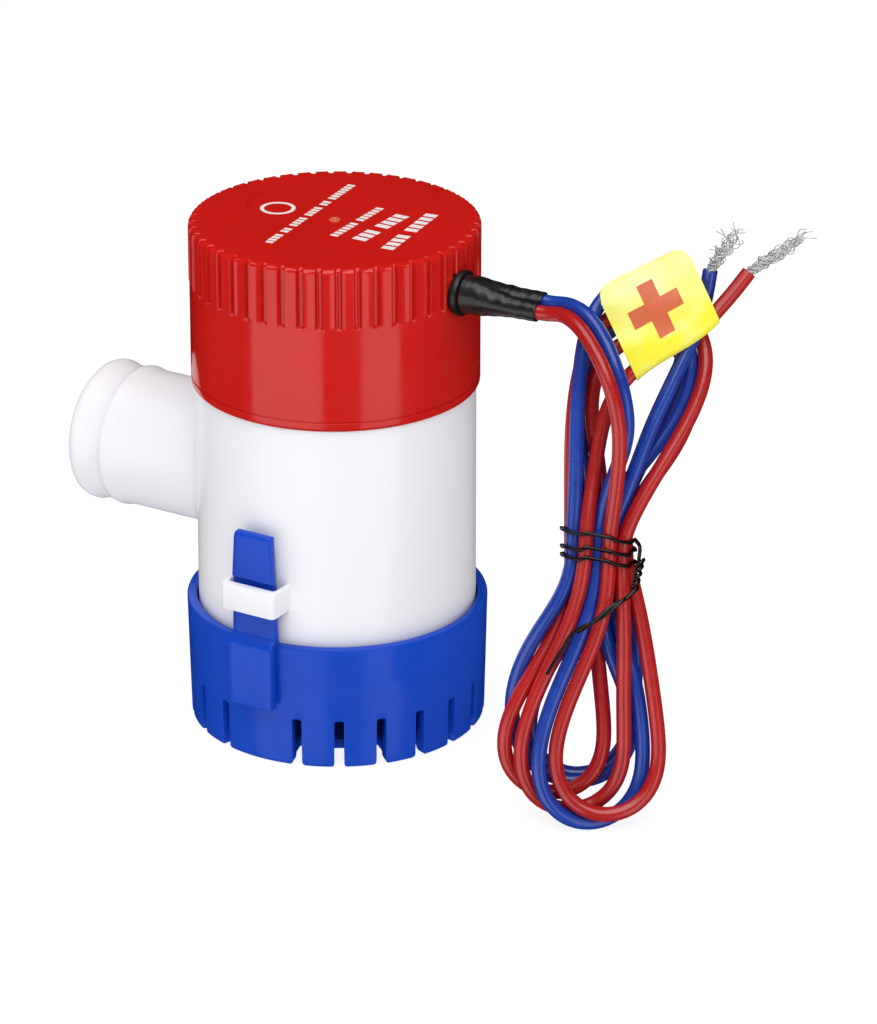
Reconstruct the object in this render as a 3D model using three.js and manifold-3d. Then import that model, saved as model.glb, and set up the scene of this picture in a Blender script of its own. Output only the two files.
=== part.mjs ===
// Submersible bilge pump: a motor sealed in the upper housing drives an impeller over the inlet eye,
// and the pump stands in a slotted strainer base held by two release tabs.
// Millimetres, +Z up. The origin is on the pump's axis at the strainer's underside.
// The hose outlet points along -X, the cable leaves along +X, and the tabs are at -Y and +Y.
import * as THREE from 'three';
import { mergeVertices } from 'three/addons/utils/BufferGeometryUtils.js';
import Module from 'manifold-3d';

const wasm = await Module();
wasm.setup();

// ---- driving dimensions ----
const GAP = 0.3; // kept between pieces that touch
const HOUSING_R = 28.5;
const HOUSING_WALL = 2.2;
const HOUSING_BOTTOM = 13.5;
const FLOOR_T = 2.2;
const EYE_R = 9;
const SEAM_Z = 73.4; // the cap's lower edge
const NECK_R = 26.9; // the housing's neck, inside the cap
const NECK_TOP = 80.5;
const CAP_R = 29.3;
const CAP_WALL = 2.0;
const CAP_TOP = 107.4;
const CAP_TOP_T = 2.6;
const RIB_COUNT = 48;
const RIB_DEPTH = 12.5; // how far down the ribs reach
const OUTLET_Z = 50.4;
const OUTLET_R = 14.3;
const OUTLET_BORE = 12.2;
const OUTLET_REACH = 57; // from the pump's axis to the outlet's mouth
const RING_TOP = 26.5;
const RING_R_TOP = 30.9;
const RING_R_LOW = 30.3;
const RING_WALL = 2.0;
const PLATE_LOW = 1.8; // the strainer's floor plate stands clear of the hull on its teeth and bosses
const PLATE_T = 2.0;
const SLOT_PITCHES = 22; // twenty slots, and a tab in place of the other two
const SLOT_W = 2.0;
const SLOT_TOP = 10.6;
const TAB_W = 10.3;
const TAB_LOW = 13.0;
const TAB_TOP = 50.2;
const STRAP_IN = 29.9; // the strap's inner face, from the axis
const STRAP_OUT = 31.4;
const CATCH = 0.7; // how far the catch above the loop stands out from the strap
const PAD_IN = 31.5;
const PAD_OUT = 33.5;
const PAD_TOP = 26.8;
const LOOP_LOW = 33.7;
const LOOP_TOP = 39.4;
const LOOP_OUT = 34.0;
const LOOP_BAR_T = 1.8;
const LOOP_W = 12.8;
const CANISTER_R = 22;
const CANISTER_WALL = 1.6;
const CANISTER_LOW = 26;
const MOTOR_R = 18.6;
const MOTOR_LOW = 28.6;
const MOTOR_TOP = 72;
const SHAFT_R = 1.6;
const BEARING_R = 4.3;
const MAGNET = { in: 14.9, out: 17.1, low: 35, high: 61, half: 58 }; // half is in degrees
const CORE = { r: 14.2, low: 37, high: 57 };
const COMMUTATOR = { r: 4, low: 61.5, high: 68.5 };
const CANISTER_SCREW_R = 12.5; // the motor screws' distance from the axis
const GLAND_Z = 97.6; // where the cable leaves the cap
const SLEEVE_START = 31.5;
const SLEEVE_LENGTH = 15.7;
const SLEEVE_SWING = 5; // degrees that the sleeve leans towards +Y
const WIRE_R = 1.5;
const WIRE_OFFSET = 1.62; // each wire's centre from the sleeve's centre line
const WIRE_TILT = 21; // degrees that the line between the two wires is tipped
const HANK_AT = [72.7, -24.8, 0]; // where the hank's plane meets the floor
const HANK_TURN = 32.5; // degrees about Z
const HANK_LEAN = 18; // degrees back from upright
const HANK_FRONT = 1; // the hank's front face, from its plane
const HANK_THICK = 11;
const TIE_AT = [3.6, 55.8]; // the tie's middle, in the hank's plane
const TIE_HALF_W = 10.9;
const TIE_HALF_DEPTH = 9.4;
const TIE_T = 1;
const TIE_HEIGHT = 3.2;
const TAG_SIZE = [18.4, 17, 0.9];

const FINE = 64;
const ROUND = 32;
const SMALL = 16;
const rad = THREE.MathUtils.degToRad;

// ---- materials ----
const paint = (color, roughness, metalness = 0) =>
  new THREE.MeshStandardMaterial({ color, roughness, metalness });
const looks = {
  red: () => paint(0xc8180f, 0.25),
  white: () => paint(0xf2f2f5, 0.3),
  blue: () => paint(0x1440bc, 0.35),
  nylon: () => paint(0xe6e0cf, 0.5),
  steel: () => paint(0xb8babd, 0.35, 1),
  iron: () => paint(0x6c6e72, 0.5, 1),
  magnet: () => paint(0x2b2b2e, 0.7),
  copper: () => paint(0xb5662e, 0.35, 1),
  brass: () => paint(0xc9a24b, 0.35, 1),
  bronze: () => paint(0xa8763a, 0.5, 1),
  carbon: () => paint(0x222225, 0.8),
  rubber: () => paint(0x151515, 0.6),
  shrink: () => paint(0x1a1a1a, 0.45),
  redWire: () => paint(0xc62a2a, 0.4),
  blueWire: () => paint(0x2d48b4, 0.4),
  tinned: () => paint(0xc4c6ca, 0.35, 1),
  tag: () => paint(0xf6ef4a, 0.5),
  tie: () => paint(0x121212, 0.5),
};

// ---- solids ----
// A closed geometry as a manifold: shared corners merged, faces turned outwards.
function solid(geometry) {
  const bare = new THREE.BufferGeometry();
  bare.setAttribute('position', geometry.getAttribute('position'));
  if (geometry.index) bare.setIndex(geometry.index);
  const merged = mergeVertices(bare, 1e-4);
  const spots = merged.getAttribute('position').array;
  const corners = merged.index.array;
  const faces = [];
  let volume = 0;
  const at = (i) => new THREE.Vector3(spots[3 * i], spots[3 * i + 1], spots[3 * i + 2]);
  for (let i = 0; i < corners.length; i += 3) {
    const [a, b, c] = [corners[i], corners[i + 1], corners[i + 2]];
    if (a === b || b === c || a === c) continue;
    faces.push([a, b, c]);
    volume += at(a).dot(at(b).cross(at(c)));
  }
  const outward = volume < 0 ? faces.map(([a, b, c]) => [a, c, b]) : faces;
  return new wasm.Manifold(new wasm.Mesh({
    numProp: 3,
    vertProperties: Float32Array.from(spots),
    triVerts: Uint32Array.from(outward.flat()),
  }));
}

function toGeometry(manifold) {
  const mesh = manifold.getMesh();
  const geometry = new THREE.BufferGeometry();
  geometry.setAttribute('position', new THREE.BufferAttribute(Float32Array.from(mesh.vertProperties), 3));
  geometry.setIndex(new THREE.BufferAttribute(Uint32Array.from(mesh.triVerts), 1));
  geometry.computeVertexNormals();
  return geometry;
}

const join = (first, ...rest) => rest.reduce((whole, piece) => whole.add(piece), first);
const cut = (first, ...rest) => rest.reduce((whole, piece) => whole.subtract(piece), first);

// A profile of [radius, height] corners turned about Z.
function lathed(profile, sides = ROUND) {
  const closed = profile[0][0] === 0 ? profile : [...profile, profile[0]];
  const points = closed.map(([r, z]) => new THREE.Vector2(r, z));
  return new THREE.LatheGeometry(points, sides).rotateX(Math.PI / 2);
}
const turned = (profile, sides) => solid(lathed(profile, sides));
const rod = (r, low, high, sides = SMALL) => turned([[0, low], [r, low], [r, high], [0, high]], sides);
const tube = (outer, inner, low, high, sides = SMALL) =>
  turned([[inner, low], [outer, low], [outer, high], [inner, high]], sides);

// A rod along X, centred on y and z.
function rodX(r, from, to, y, z, sides = SMALL) {
  const geometry = new THREE.CylinderGeometry(r, r, Math.abs(to - from), sides);
  return solid(geometry.rotateZ(Math.PI / 2).translate((from + to) / 2, y, z));
}

// A box by its low and high corners, then turned about Z.
function block(low, high, turn = 0) {
  const size = high.map((value, i) => value - low[i]);
  const middle = high.map((value, i) => (value + low[i]) / 2);
  const geometry = new THREE.BoxGeometry(...size).translate(...middle);
  return solid(geometry.rotateZ(rad(turn)));
}

// An outline in X and Y, raised from low to high.
function raised(outline, low, high, turn = 0) {
  const shape = outline instanceof THREE.Shape ? outline : new THREE.Shape(outline);
  const geometry = new THREE.ExtrudeGeometry(shape, {
    depth: high - low, bevelEnabled: false, curveSegments: 6,
  });
  return solid(geometry.translate(0, 0, low).rotateZ(rad(turn)));
}

// A ring sector from angle a to b, in degrees.
function sector(inner, outer, a, b) {
  const shape = new THREE.Shape();
  shape.absarc(0, 0, outer, rad(a), rad(b), false);
  shape.absarc(0, 0, inner, rad(b), rad(a), true);
  shape.closePath();
  return shape;
}

// A round wire along a smooth curve.
function wire(points, radius, steps, sides = 8) {
  const section = Array.from({ length: sides }, (_, i) => {
    const turn = (2 * Math.PI * i) / sides;
    return new THREE.Vector2(radius * Math.cos(turn), radius * Math.sin(turn));
  });
  const path = new THREE.CatmullRomCurve3(points.map((p) => new THREE.Vector3(...p)));
  return new THREE.ExtrudeGeometry(new THREE.Shape(section), { steps, extrudePath: path });
}

function part(parent, name, shape, look) {
  const geometry = shape.isBufferGeometry ? toGeometry(solid(shape)) : toGeometry(shape);
  const mesh = new THREE.Mesh(geometry, look());
  mesh.name = name;
  parent.add(mesh);
  return mesh;
}

const pump = new THREE.Group();

// ---- strainer base ----
function strainerBase() {
  const inner = RING_R_TOP - RING_WALL;
  const ledgeTop = HOUSING_BOTTOM - GAP - 0.2;
  const ledgeIn = 26.4;
  const ring = turned([
    [0, PLATE_LOW], [inner - 1.6, PLATE_LOW], [inner - 1, 0], [RING_R_LOW - 0.8, 0],
    [RING_R_LOW, 0.8], [RING_R_TOP, RING_TOP - 0.4], [RING_R_TOP - 0.4, RING_TOP], [inner, RING_TOP],
    [inner, ledgeTop], [ledgeIn, ledgeTop], [ledgeIn, ledgeTop - 1.4], [inner - 1, ledgeTop - 1.8],
    [inner - 1, PLATE_LOW + PLATE_T], [0, PLATE_LOW + PLATE_T],
  ], 3 * SLOT_PITCHES);
  const centrePad = rod(6, 0, PLATE_LOW + 0.1);
  const bosses = [0, 120, 240].map((turn) => {
    const [x, y] = [18 * Math.cos(rad(turn)), 18 * Math.sin(rad(turn))];
    return rod(4.5, 0, PLATE_LOW + 0.1).translate([x, y, 0]);
  });
  const holes = [0, 120, 240].map((turn) => {
    const [x, y] = [18 * Math.cos(rad(turn)), 18 * Math.sin(rad(turn))];
    return rod(2.2, -1, PLATE_LOW + PLATE_T + 1, 16).translate([x, y, 0]);
  });
  const slots = [];
  for (let i = 0; i < SLOT_PITCHES; i += 1) {
    if (i % (SLOT_PITCHES / 2) === 0) continue; // a tab hangs here
    const turn = -90 + (360 * i) / SLOT_PITCHES;
    slots.push(block([24.5, -SLOT_W / 2, -1], [34, SLOT_W / 2, SLOT_TOP], turn));
  }
  return cut(join(ring, centrePad, ...bosses), ...holes, ...slots);
}

// ---- release tabs: drawn at -Y, the second one turned half round ----
function releaseTab(turn) {
  // The side view, as [distance from the axis, height].
  const side = [
    [PAD_IN, TAB_LOW], [PAD_OUT, TAB_LOW], [PAD_OUT, PAD_TOP - 0.5], [PAD_OUT - 0.4, PAD_TOP],
    [STRAP_OUT, PAD_TOP + 1.4], [STRAP_OUT, LOOP_TOP + 0.6], [STRAP_OUT + CATCH, LOOP_TOP + 0.9],
    [STRAP_OUT + CATCH - 0.2, TAB_TOP - 0.8], [STRAP_OUT - 0.1, TAB_TOP], [STRAP_IN, TAB_TOP],
    [STRAP_IN, RING_TOP + 0.7], [PAD_IN, RING_TOP],
  ];
  const shape = new THREE.Shape(side.map(([r, z]) => new THREE.Vector2(r, z)));
  const geometry = new THREE.ExtrudeGeometry(shape, { depth: TAB_W, bevelEnabled: false });
  // The outline's X becomes -Y, and its Y becomes Z.
  const stand = new THREE.Matrix4().set(0, 0, 1, -TAB_W / 2, -1, 0, 0, 0, 0, 1, 0, 0, 0, 0, 0, 1);
  const bar = solid(geometry.applyMatrix4(stand));
  // The strap narrows towards its top.
  const taper = (sign) => solid(new THREE.BoxGeometry(3, 8, 26)
    .rotateY(rad(-sign * 3.2)).translate(sign * (TAB_W / 2 + 1.1), -32, 47));
  const tab = cut(bar, taper(1), taper(-1));
  return tab.rotate([0, 0, turn]);
}

// ---- pump housing ----
function pumpHousing() {
  const inner = HOUSING_R - HOUSING_WALL;
  const neckIn = NECK_R - 2;
  const shell = turned([
    [EYE_R, HOUSING_BOTTOM], [HOUSING_R - 0.6, HOUSING_BOTTOM], [HOUSING_R, HOUSING_BOTTOM + 0.6],
    [HOUSING_R, SEAM_Z - GAP], [NECK_R, SEAM_Z - GAP], [NECK_R, NECK_TOP], [neckIn, NECK_TOP],
    [neckIn, SEAM_Z - 1], [inner, SEAM_Z - 3], [inner, HOUSING_BOTTOM + FLOOR_T],
    [EYE_R, HOUSING_BOTTOM + FLOOR_T],
  ], FINE);
  // The outlet's side profile, as [radius, distance from the axis]: two low barbs near the mouth.
  const end = OUTLET_REACH;
  const spout = [
    [0, inner - 8], [OUTLET_R, inner - 8], [OUTLET_R, end - 11], [OUTLET_R + 0.5, end - 8.6],
    [OUTLET_R - 0.1, end - 7.4], [OUTLET_R - 0.1, end - 4.6], [OUTLET_R + 0.5, end - 2],
    [OUTLET_R - 0.3, end - 0.4], [OUTLET_R - 1, end], [0, end],
  ];
  const outlet = solid(lathed(spout, ROUND).rotateY(-Math.PI / 2).translate(0, 0, OUTLET_Z));
  const room = rod(inner, HOUSING_BOTTOM + FLOOR_T + 0.01, SEAM_Z - 3, FINE);
  const bore = rodX(OUTLET_BORE, -end - 1, -20, 0, OUTLET_Z, ROUND);
  const loops = [0, 180].map((turn) => {
    const side = LOOP_W / 2;
    const outer = block([-side, -LOOP_OUT, LOOP_LOW], [side, -27.2, LOOP_TOP]);
    const window = block(
      [-side + 0.9, -LOOP_OUT + LOOP_BAR_T, LOOP_LOW - 1], [side - 0.9, -26.8, LOOP_TOP + 1]);
    return cut(outer, window).rotate([0, 0, turn]);
  });
  const body = join(shell, cut(outlet, room), ...loops.map((loop) => cut(loop, room)));
  return cut(body, bore);
}

// ---- motor cap ----
function motorCap() {
  const inner = CAP_R - CAP_WALL;
  const shell = turned([
    [0, CAP_TOP - CAP_TOP_T], [inner - 1.5, CAP_TOP - CAP_TOP_T], [inner, CAP_TOP - CAP_TOP_T - 1.5],
    [inner, SEAM_Z], [CAP_R - 0.2, SEAM_Z], [CAP_R, SEAM_Z + 0.4], [CAP_R, CAP_TOP - 0.9],
    [CAP_R - 0.3, CAP_TOP - 0.3], [CAP_R - 0.9, CAP_TOP], [0, CAP_TOP],
  ], FINE);
  const grooves = [];
  for (let i = 0; i < RIB_COUNT; i += 1) {
    const turn = (360 * (i + 0.5)) / RIB_COUNT;
    grooves.push(block(
      [CAP_R - 0.8, -0.65, CAP_TOP - RIB_DEPTH], [CAP_R + 1, 0.65, CAP_TOP + 1], turn));
  }
  return cut(shell, ...grooves, rodX(4.4, inner - 4, CAP_R + 2, 0, GLAND_Z));
}

// ---- sealed inner cup that holds the motor ----
const screwHoles = (low) => [-1, 1].map((side) => rod(1.7, low - 1, low + 3, 12)
  .translate([CANISTER_SCREW_R * side, 0, 0]));

function motorCanister() {
  const inner = CANISTER_R - CANISTER_WALL;
  const flangeLow = NECK_TOP + GAP;
  const cup = turned([
    [5.3, CANISTER_LOW - 2], [8, CANISTER_LOW - 2], [8, CANISTER_LOW], [CANISTER_R - 1, CANISTER_LOW],
    [CANISTER_R, CANISTER_LOW + 1], [CANISTER_R, flangeLow], [NECK_R, flangeLow],
    [NECK_R, flangeLow + 2], [inner, flangeLow + 2], [inner, CANISTER_LOW + 2], [5.3, CANISTER_LOW + 2],
  ], ROUND);
  return cut(cup, ...screwHoles(CANISTER_LOW));
}

// ---- motor ----
function motorCan() {
  const wall = 1.2;
  const bore = BEARING_R + GAP;
  const can = turned([
    [bore, MOTOR_LOW], [MOTOR_R, MOTOR_LOW], [MOTOR_R, MOTOR_TOP], [MOTOR_R - wall, MOTOR_TOP],
    [MOTOR_R - wall, MOTOR_LOW + wall], [bore, MOTOR_LOW + wall],
  ]);
  return cut(can, ...screwHoles(MOTOR_LOW));
}

function motorEndCap() {
  const plug = MOTOR_R - 1.5;
  const bore = BEARING_R + GAP;
  const top = MOTOR_TOP + 2.3;
  const cap = turned([
    [bore, MOTOR_TOP - 2], [plug, MOTOR_TOP - 2], [plug, MOTOR_TOP + GAP], [MOTOR_R, MOTOR_TOP + GAP],
    [MOTOR_R, top], [bore + 2.2, top], [bore + 2.2, top + 1.9], [bore, top + 1.9],
  ]);
  const slots = [-1, 1].map((side) => block([-2.8, side * 11 - 0.8, 69], [2.8, side * 11 + 0.8, 75]));
  return cut(cap, ...slots);
}

function motorScrew(side) {
  const head = rod(2.6, CANISTER_LOW - 1.8, CANISTER_LOW - GAP);
  const thread = rod(1.4, CANISTER_LOW - GAP - 0.1, MOTOR_LOW + 2.4, 12);
  return join(head, thread).translate([CANISTER_SCREW_R * side, 0, 0]);
}

function brushArm(side) {
  const upright = block([-2, 8.5, 63.2], [2, 9, 69.6]);
  const foot = block([-2, 8.5, 69.1], [2, 10.2, 69.6]);
  return join(upright, foot).rotate([0, 0, side > 0 ? 0 : 180]);
}

const brush = (side) => block([-1.5, 4.4, 63.5], [1.5, 8.2, 66.5], side > 0 ? 0 : 180);
const terminal = (side) => block([-2.4, 10.6, 66], [2.4, 11.4, 82], side > 0 ? 0 : 180);

// ---- rotor ----
const shaftHole = (low, high) => rod(SHAFT_R + GAP, low - 1, high + 1);

function armatureCore() {
  const { r, low, high } = CORE;
  const hub = rod(5, low, high);
  const poles = [90, 210, 330].map((turn) => join(
    block([3, -2, low], [13, 2, high], turn),
    raised(sector(r - 2, r, -48, 48), low, high, turn)));
  return cut(join(hub, ...poles), shaftHole(low, high));
}

function winding(turn) {
  const coil = block([6.2, -4.4, CORE.low - 3.4], [11.1, 4.4, CORE.high + 3.4]);
  const middle = block([5, -2 - GAP, CORE.low - GAP], [13, 2 + GAP, CORE.high + GAP]);
  return cut(coil, middle).rotate([0, 0, turn]);
}

function commutator() {
  const { r, low, high } = COMMUTATOR;
  const slits = [30, 150, 270].map((turn) => block([2.9, -0.2, low - 1], [5, 0.2, high + 1], turn));
  return cut(tube(r, SHAFT_R + GAP, low, high), ...slits);
}

// Six backswept vanes under a disc.
function impeller() {
  const [low, disc, high] = [16.4, 21.8, 23.4];
  const vane = new THREE.Shape();
  vane.absarc(0, 11.5, 12.4, rad(-90), rad(15), false);
  vane.absarc(0, 11.5, 11.2, rad(15), rad(-90), true);
  vane.closePath();
  const vanes = Array.from({ length: 6 }, (_, i) => raised(vane, low, disc + 0.1, 60 * i)
    .translate([3.4 * Math.cos(rad(60 * i)), 3.4 * Math.sin(rad(60 * i)), 0]));
  const inside = rod(20.4, low - 1, high + 1, ROUND);
  const wheel = join(rod(5, low, high), rod(20.4, disc, high, ROUND), ...vanes);
  return cut(wheel.intersect(inside), shaftHole(low, high));
}

// ---- cable gland, sleeve and the wires inside them ----
function cableGrommet() {
  const profile = [
    [3.4, 24.4], [5.4, 24.4], [5.4, 26.4], [4.1, 26.4], [4.1, 29.7], [4.7, 29.7], [4.4, 30.8], [3.4, 30.8],
  ];
  return lathed(profile, SMALL).rotateY(Math.PI / 2).translate(0, 0, GLAND_Z);
}

// The sleeve is round at the cap and pressed flat round the two wires at its end.
function heatShrinkSleeve() {
  const steps = [0, 0.3, 0.6, 0.85, 1];
  const outer = steps.map((t) => [4.4 - 0.5 * t, t * SLEEVE_LENGTH]);
  const inner = steps.map((t) => [3.9 - 0.45 * t, t * SLEEVE_LENGTH]).reverse();
  const geometry = lathed([...outer, ...inner], SMALL);
  const spots = geometry.getAttribute('position');
  for (let i = 0; i < spots.count; i += 1) {
    const along = spots.getZ(i) / SLEEVE_LENGTH;
    spots.setX(i, spots.getX(i) * (1 - 0.42 * along));
  }
  return geometry.rotateZ(rad(WIRE_TILT)).rotateY(Math.PI / 2);
}

const sleeveTilt = rad(WIRE_TILT);
const wireSide = (side) => [
  side * WIRE_OFFSET * Math.cos(sleeveTilt), side * WIRE_OFFSET * Math.sin(sleeveTilt),
];

// A point on a wire's centre line inside the sleeve, at a distance along it.
function inSleeve(side, along) {
  const [across, up] = wireSide(side);
  const swing = rad(SLEEVE_SWING);
  return [
    SLEEVE_START + along * Math.cos(swing) - across * Math.sin(swing),
    along * Math.sin(swing) + across * Math.cos(swing),
    GLAND_Z + up,
  ];
}

function insideWire(side) {
  const [across, up] = wireSide(side);
  return wire([
    [0, side * 11, 82.4], [0.3, side * 11, 86], [4, side * 9.5, 91.5], [11, side * 5, 96],
    [18, across * 1.1, GLAND_Z + up], [24, across, GLAND_Z + up], [29, across, GLAND_Z + up],
    inSleeve(side, 2), inSleeve(side, 8), inSleeve(side, SLEEVE_LENGTH - 0.2),
  ], WIRE_R, 26);
}

// The free leads, from the sleeve over to the front of the hank, just above its tie.
const LEAD_RED = [
  [53.2, -0.6, 97.7], [59.0, -3.6, 96.8], [63.7, -5.8, 93.9], [66.9, -7.0, 89.7], [69.3, -7.5, 84.2],
  [70.7, -7.9, 77.5], [71.0, -8.8, 69.5], [69.8, -9.4, 62.5],
];
const LEAD_BLUE = [
  [52.9, 2.6, 98.7], [58.8, 0.3, 98.0], [63.6, -1.9, 94.9], [66.9, -3.2, 90.0], [69.2, -3.8, 84.3],
  [70.5, -4.2, 78.2], [71.6, -4.8, 71.5], [72.2, -6.2, 64.5],
];
const lead = (side, route) => wire([inSleeve(side, SLEEVE_LENGTH + GAP), ...route], WIRE_R, 22);

// ---- the hank and what is on it, in the hank's own frame: X across, Y up along it, Z to its front ----
function hankFrame() {
  const leaning = new THREE.Group();
  leaning.rotation.x = rad(90 - HANK_LEAN);
  const turntable = new THREE.Group();
  turntable.position.set(...HANK_AT);
  turntable.rotation.z = rad(HANK_TURN);
  turntable.add(leaning);
  return [turntable, leaning];
}

function wireHank() {
  const outline = [
    [0.5, 3.7], [9.5, 5.4], [16, 13], [16.3, 23], [13.4, 36], [11.2, 48], [11, 57], [16, 67], [22.5, 78],
    [26.2, 90], [24, 100], [19, 108], [12.5, 111.5], [5, 107], [-0.5, 97], [-4.6, 84], [-5, 70], [-3.8, 57],
    [-5.2, 46], [-10.4, 33], [-15, 21], [-14.6, 12], [-8.5, 5.6],
  ];
  const curve = new THREE.CatmullRomCurve3(outline.map(([x, y]) => new THREE.Vector3(x, y, 0)), true);
  const shape = new THREE.Shape(curve.getPoints(60).slice(0, 60).map((p) => new THREE.Vector2(p.x, p.y)));
  const geometry = new THREE.ExtrudeGeometry(shape, { depth: HANK_THICK, bevelEnabled: false });
  return geometry.translate(0, 0, HANK_FRONT - HANK_THICK);
}

// The tie's wraps, as one band round the waist that clears the hank solid's corners.
function twistTie() {
  const ring = new THREE.Shape();
  ring.absellipse(0, 0, TIE_HALF_W + TIE_T, TIE_HALF_DEPTH + TIE_T, 0, 2 * Math.PI);
  const hole = new THREE.Path();
  hole.absellipse(0, 0, TIE_HALF_W, TIE_HALF_DEPTH, 0, 2 * Math.PI);
  ring.holes.push(hole);
  const geometry = new THREE.ExtrudeGeometry(ring, {
    depth: TIE_HEIGHT, bevelEnabled: false, curveSegments: 14,
  });
  return geometry.rotateX(Math.PI / 2)
    .translate(TIE_AT[0], TIE_AT[1] + TIE_HEIGHT / 2, HANK_FRONT - HANK_THICK / 2);
}

const TAIL_BLUE = [[24.3, 105.2, -1], [25, 108.5, -0.5], [25.6, 111.5, 0]];
const TAIL_RED = [[27.5, 103.7, -1], [30.4, 107, -0.5], [33.4, 110.6, 0]];
const STRANDS_BLUE = [[25.9, 112.2, 0.1], [28.6, 116.6, 1], [31.9, 119.3, 1.5]];
const STRANDS_RED = [[34, 111.3, 0.1], [39, 115.2, 1], [44.5, 117.8, 1.5]];

const wireTag = () => new THREE.BoxGeometry(...TAG_SIZE)
  .rotateZ(rad(27)).translate(15.8, 103.4, HANK_FRONT + 2);

// ---- assembly ----
part(pump, 'strainer_base', strainerBase(), looks.blue);
part(pump, 'release_tab_front', releaseTab(0), looks.blue);
part(pump, 'release_tab_back', releaseTab(180), looks.blue);
part(pump, 'pump_housing', pumpHousing(), looks.white);
part(pump, 'motor_cap', motorCap(), looks.red);
part(pump, 'motor_canister', motorCanister(), looks.nylon);
part(pump, 'cable_grommet', cableGrommet(), looks.rubber);

const seal = new THREE.TorusGeometry(23.45, 1.15, 6, ROUND).translate(0, 0, 79);
part(pump, 'seal_ring', seal, looks.rubber);
part(pump, 'shaft_seal', tube(5, SHAFT_R + 0.12, CANISTER_LOW - 1.7, CANISTER_LOW + 1.7), looks.rubber);
part(pump, 'motor_can', motorCan(), looks.steel);
part(pump, 'motor_end_cap', motorEndCap(), looks.nylon);
const running = SHAFT_R + 0.12; // a running clearance round the shaft
part(pump, 'lower_bearing', tube(BEARING_R, running, MOTOR_LOW, 33.5), looks.bronze);
part(pump, 'upper_bearing', tube(BEARING_R, running, 70.3, 75.5), looks.bronze);
for (const [name, side] of [['left', 1], ['right', -1]]) {
  const arc = sector(MAGNET.in, MAGNET.out, -MAGNET.half, MAGNET.half);
  part(pump, `magnet_${name}`, raised(arc, MAGNET.low, MAGNET.high, side > 0 ? 0 : 180), looks.magnet);
  part(pump, `motor_screw_${name}`, motorScrew(side), looks.steel);
}
for (const [name, side, look] of [['red', -1, looks.redWire], ['blue', 1, looks.blueWire]]) {
  part(pump, `brush_${name}`, brush(side), looks.carbon);
  part(pump, `brush_arm_${name}`, brushArm(side), looks.brass);
  part(pump, `terminal_${name}`, terminal(side), looks.brass);
  part(pump, `inside_wire_${name}`, insideWire(side), look);
}

const rotor = new THREE.Group();
pump.add(rotor);
part(rotor, 'shaft', rod(SHAFT_R, 16.6, 77.5), looks.steel);
part(rotor, 'armature_core', armatureCore(), looks.iron);
[90, 210, 330].forEach((turn, i) => part(rotor, `winding_${i + 1}`, winding(turn), looks.copper));
part(rotor, 'commutator', commutator(), looks.copper);
part(rotor, 'thrust_washer_lower', tube(3.6, SHAFT_R + GAP, 34.4, 35), looks.nylon);
part(rotor, 'thrust_washer_upper', tube(3.6, SHAFT_R + GAP, 69, 69.6), looks.nylon);
part(rotor, 'impeller', impeller(), looks.nylon);

const sleeve = new THREE.Group();
sleeve.position.set(SLEEVE_START, 0, GLAND_Z);
sleeve.rotation.z = rad(SLEEVE_SWING);
pump.add(sleeve);
part(sleeve, 'heat_shrink_sleeve', heatShrinkSleeve(), looks.shrink);
part(pump, 'lead_red', lead(-1, LEAD_RED), looks.redWire);
part(pump, 'lead_blue', lead(1, LEAD_BLUE), looks.blueWire);

const [turntable, hank] = hankFrame();
pump.add(turntable);
part(hank, 'wire_hank', wireHank(), looks.redWire);
part(hank, 'tail_red', wire(TAIL_RED, WIRE_R, 4), looks.redWire);
part(hank, 'tail_blue', wire(TAIL_BLUE, WIRE_R, 4), looks.blueWire);
part(hank, 'strands_red', wire(STRANDS_RED, 1.1, 4, 6), looks.tinned);
part(hank, 'strands_blue', wire(STRANDS_BLUE, 1.1, 4, 6), looks.tinned);
part(hank, 'wire_tag', wireTag(), looks.tag);
part(hank, 'twist_tie', twistTie(), looks.tie);

export default pump;
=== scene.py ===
"""Submersible bilge pump: its looks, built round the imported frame.

Metres, +Z up, in the pump's own frame: the origin is on the pump's axis at the strainer's underside,
the hose outlet points along -X, the cable leaves along +X, and the release tabs are at -Y and +Y.
"""
import math
import random

import bmesh
import bpy
import numpy as np
from mathutils import Matrix, Vector


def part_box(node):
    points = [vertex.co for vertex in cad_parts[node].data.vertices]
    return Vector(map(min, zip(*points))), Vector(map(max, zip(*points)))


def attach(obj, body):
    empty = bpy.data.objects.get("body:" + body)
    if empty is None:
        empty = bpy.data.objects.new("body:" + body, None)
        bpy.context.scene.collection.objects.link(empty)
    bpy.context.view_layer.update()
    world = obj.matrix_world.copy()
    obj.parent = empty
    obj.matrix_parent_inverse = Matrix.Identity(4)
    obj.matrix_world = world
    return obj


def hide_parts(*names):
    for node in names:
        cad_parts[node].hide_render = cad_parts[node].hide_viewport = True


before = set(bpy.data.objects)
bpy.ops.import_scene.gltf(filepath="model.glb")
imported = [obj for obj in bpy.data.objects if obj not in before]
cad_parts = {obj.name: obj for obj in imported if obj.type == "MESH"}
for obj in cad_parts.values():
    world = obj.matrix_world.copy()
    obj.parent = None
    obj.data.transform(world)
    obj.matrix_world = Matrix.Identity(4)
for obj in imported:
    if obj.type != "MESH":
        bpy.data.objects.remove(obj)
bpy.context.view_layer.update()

MM = 0.001
rad = math.radians

# ---- sizes taken from the frame ----
CAP_LOW, CAP_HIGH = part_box("motor_cap")
CAP_R = CAP_HIGH[0]
CAP_TOP = CAP_HIGH[2]
SEAM_Z = CAP_LOW[2]
OUTLET_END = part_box("pump_housing")[0][0]

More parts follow.
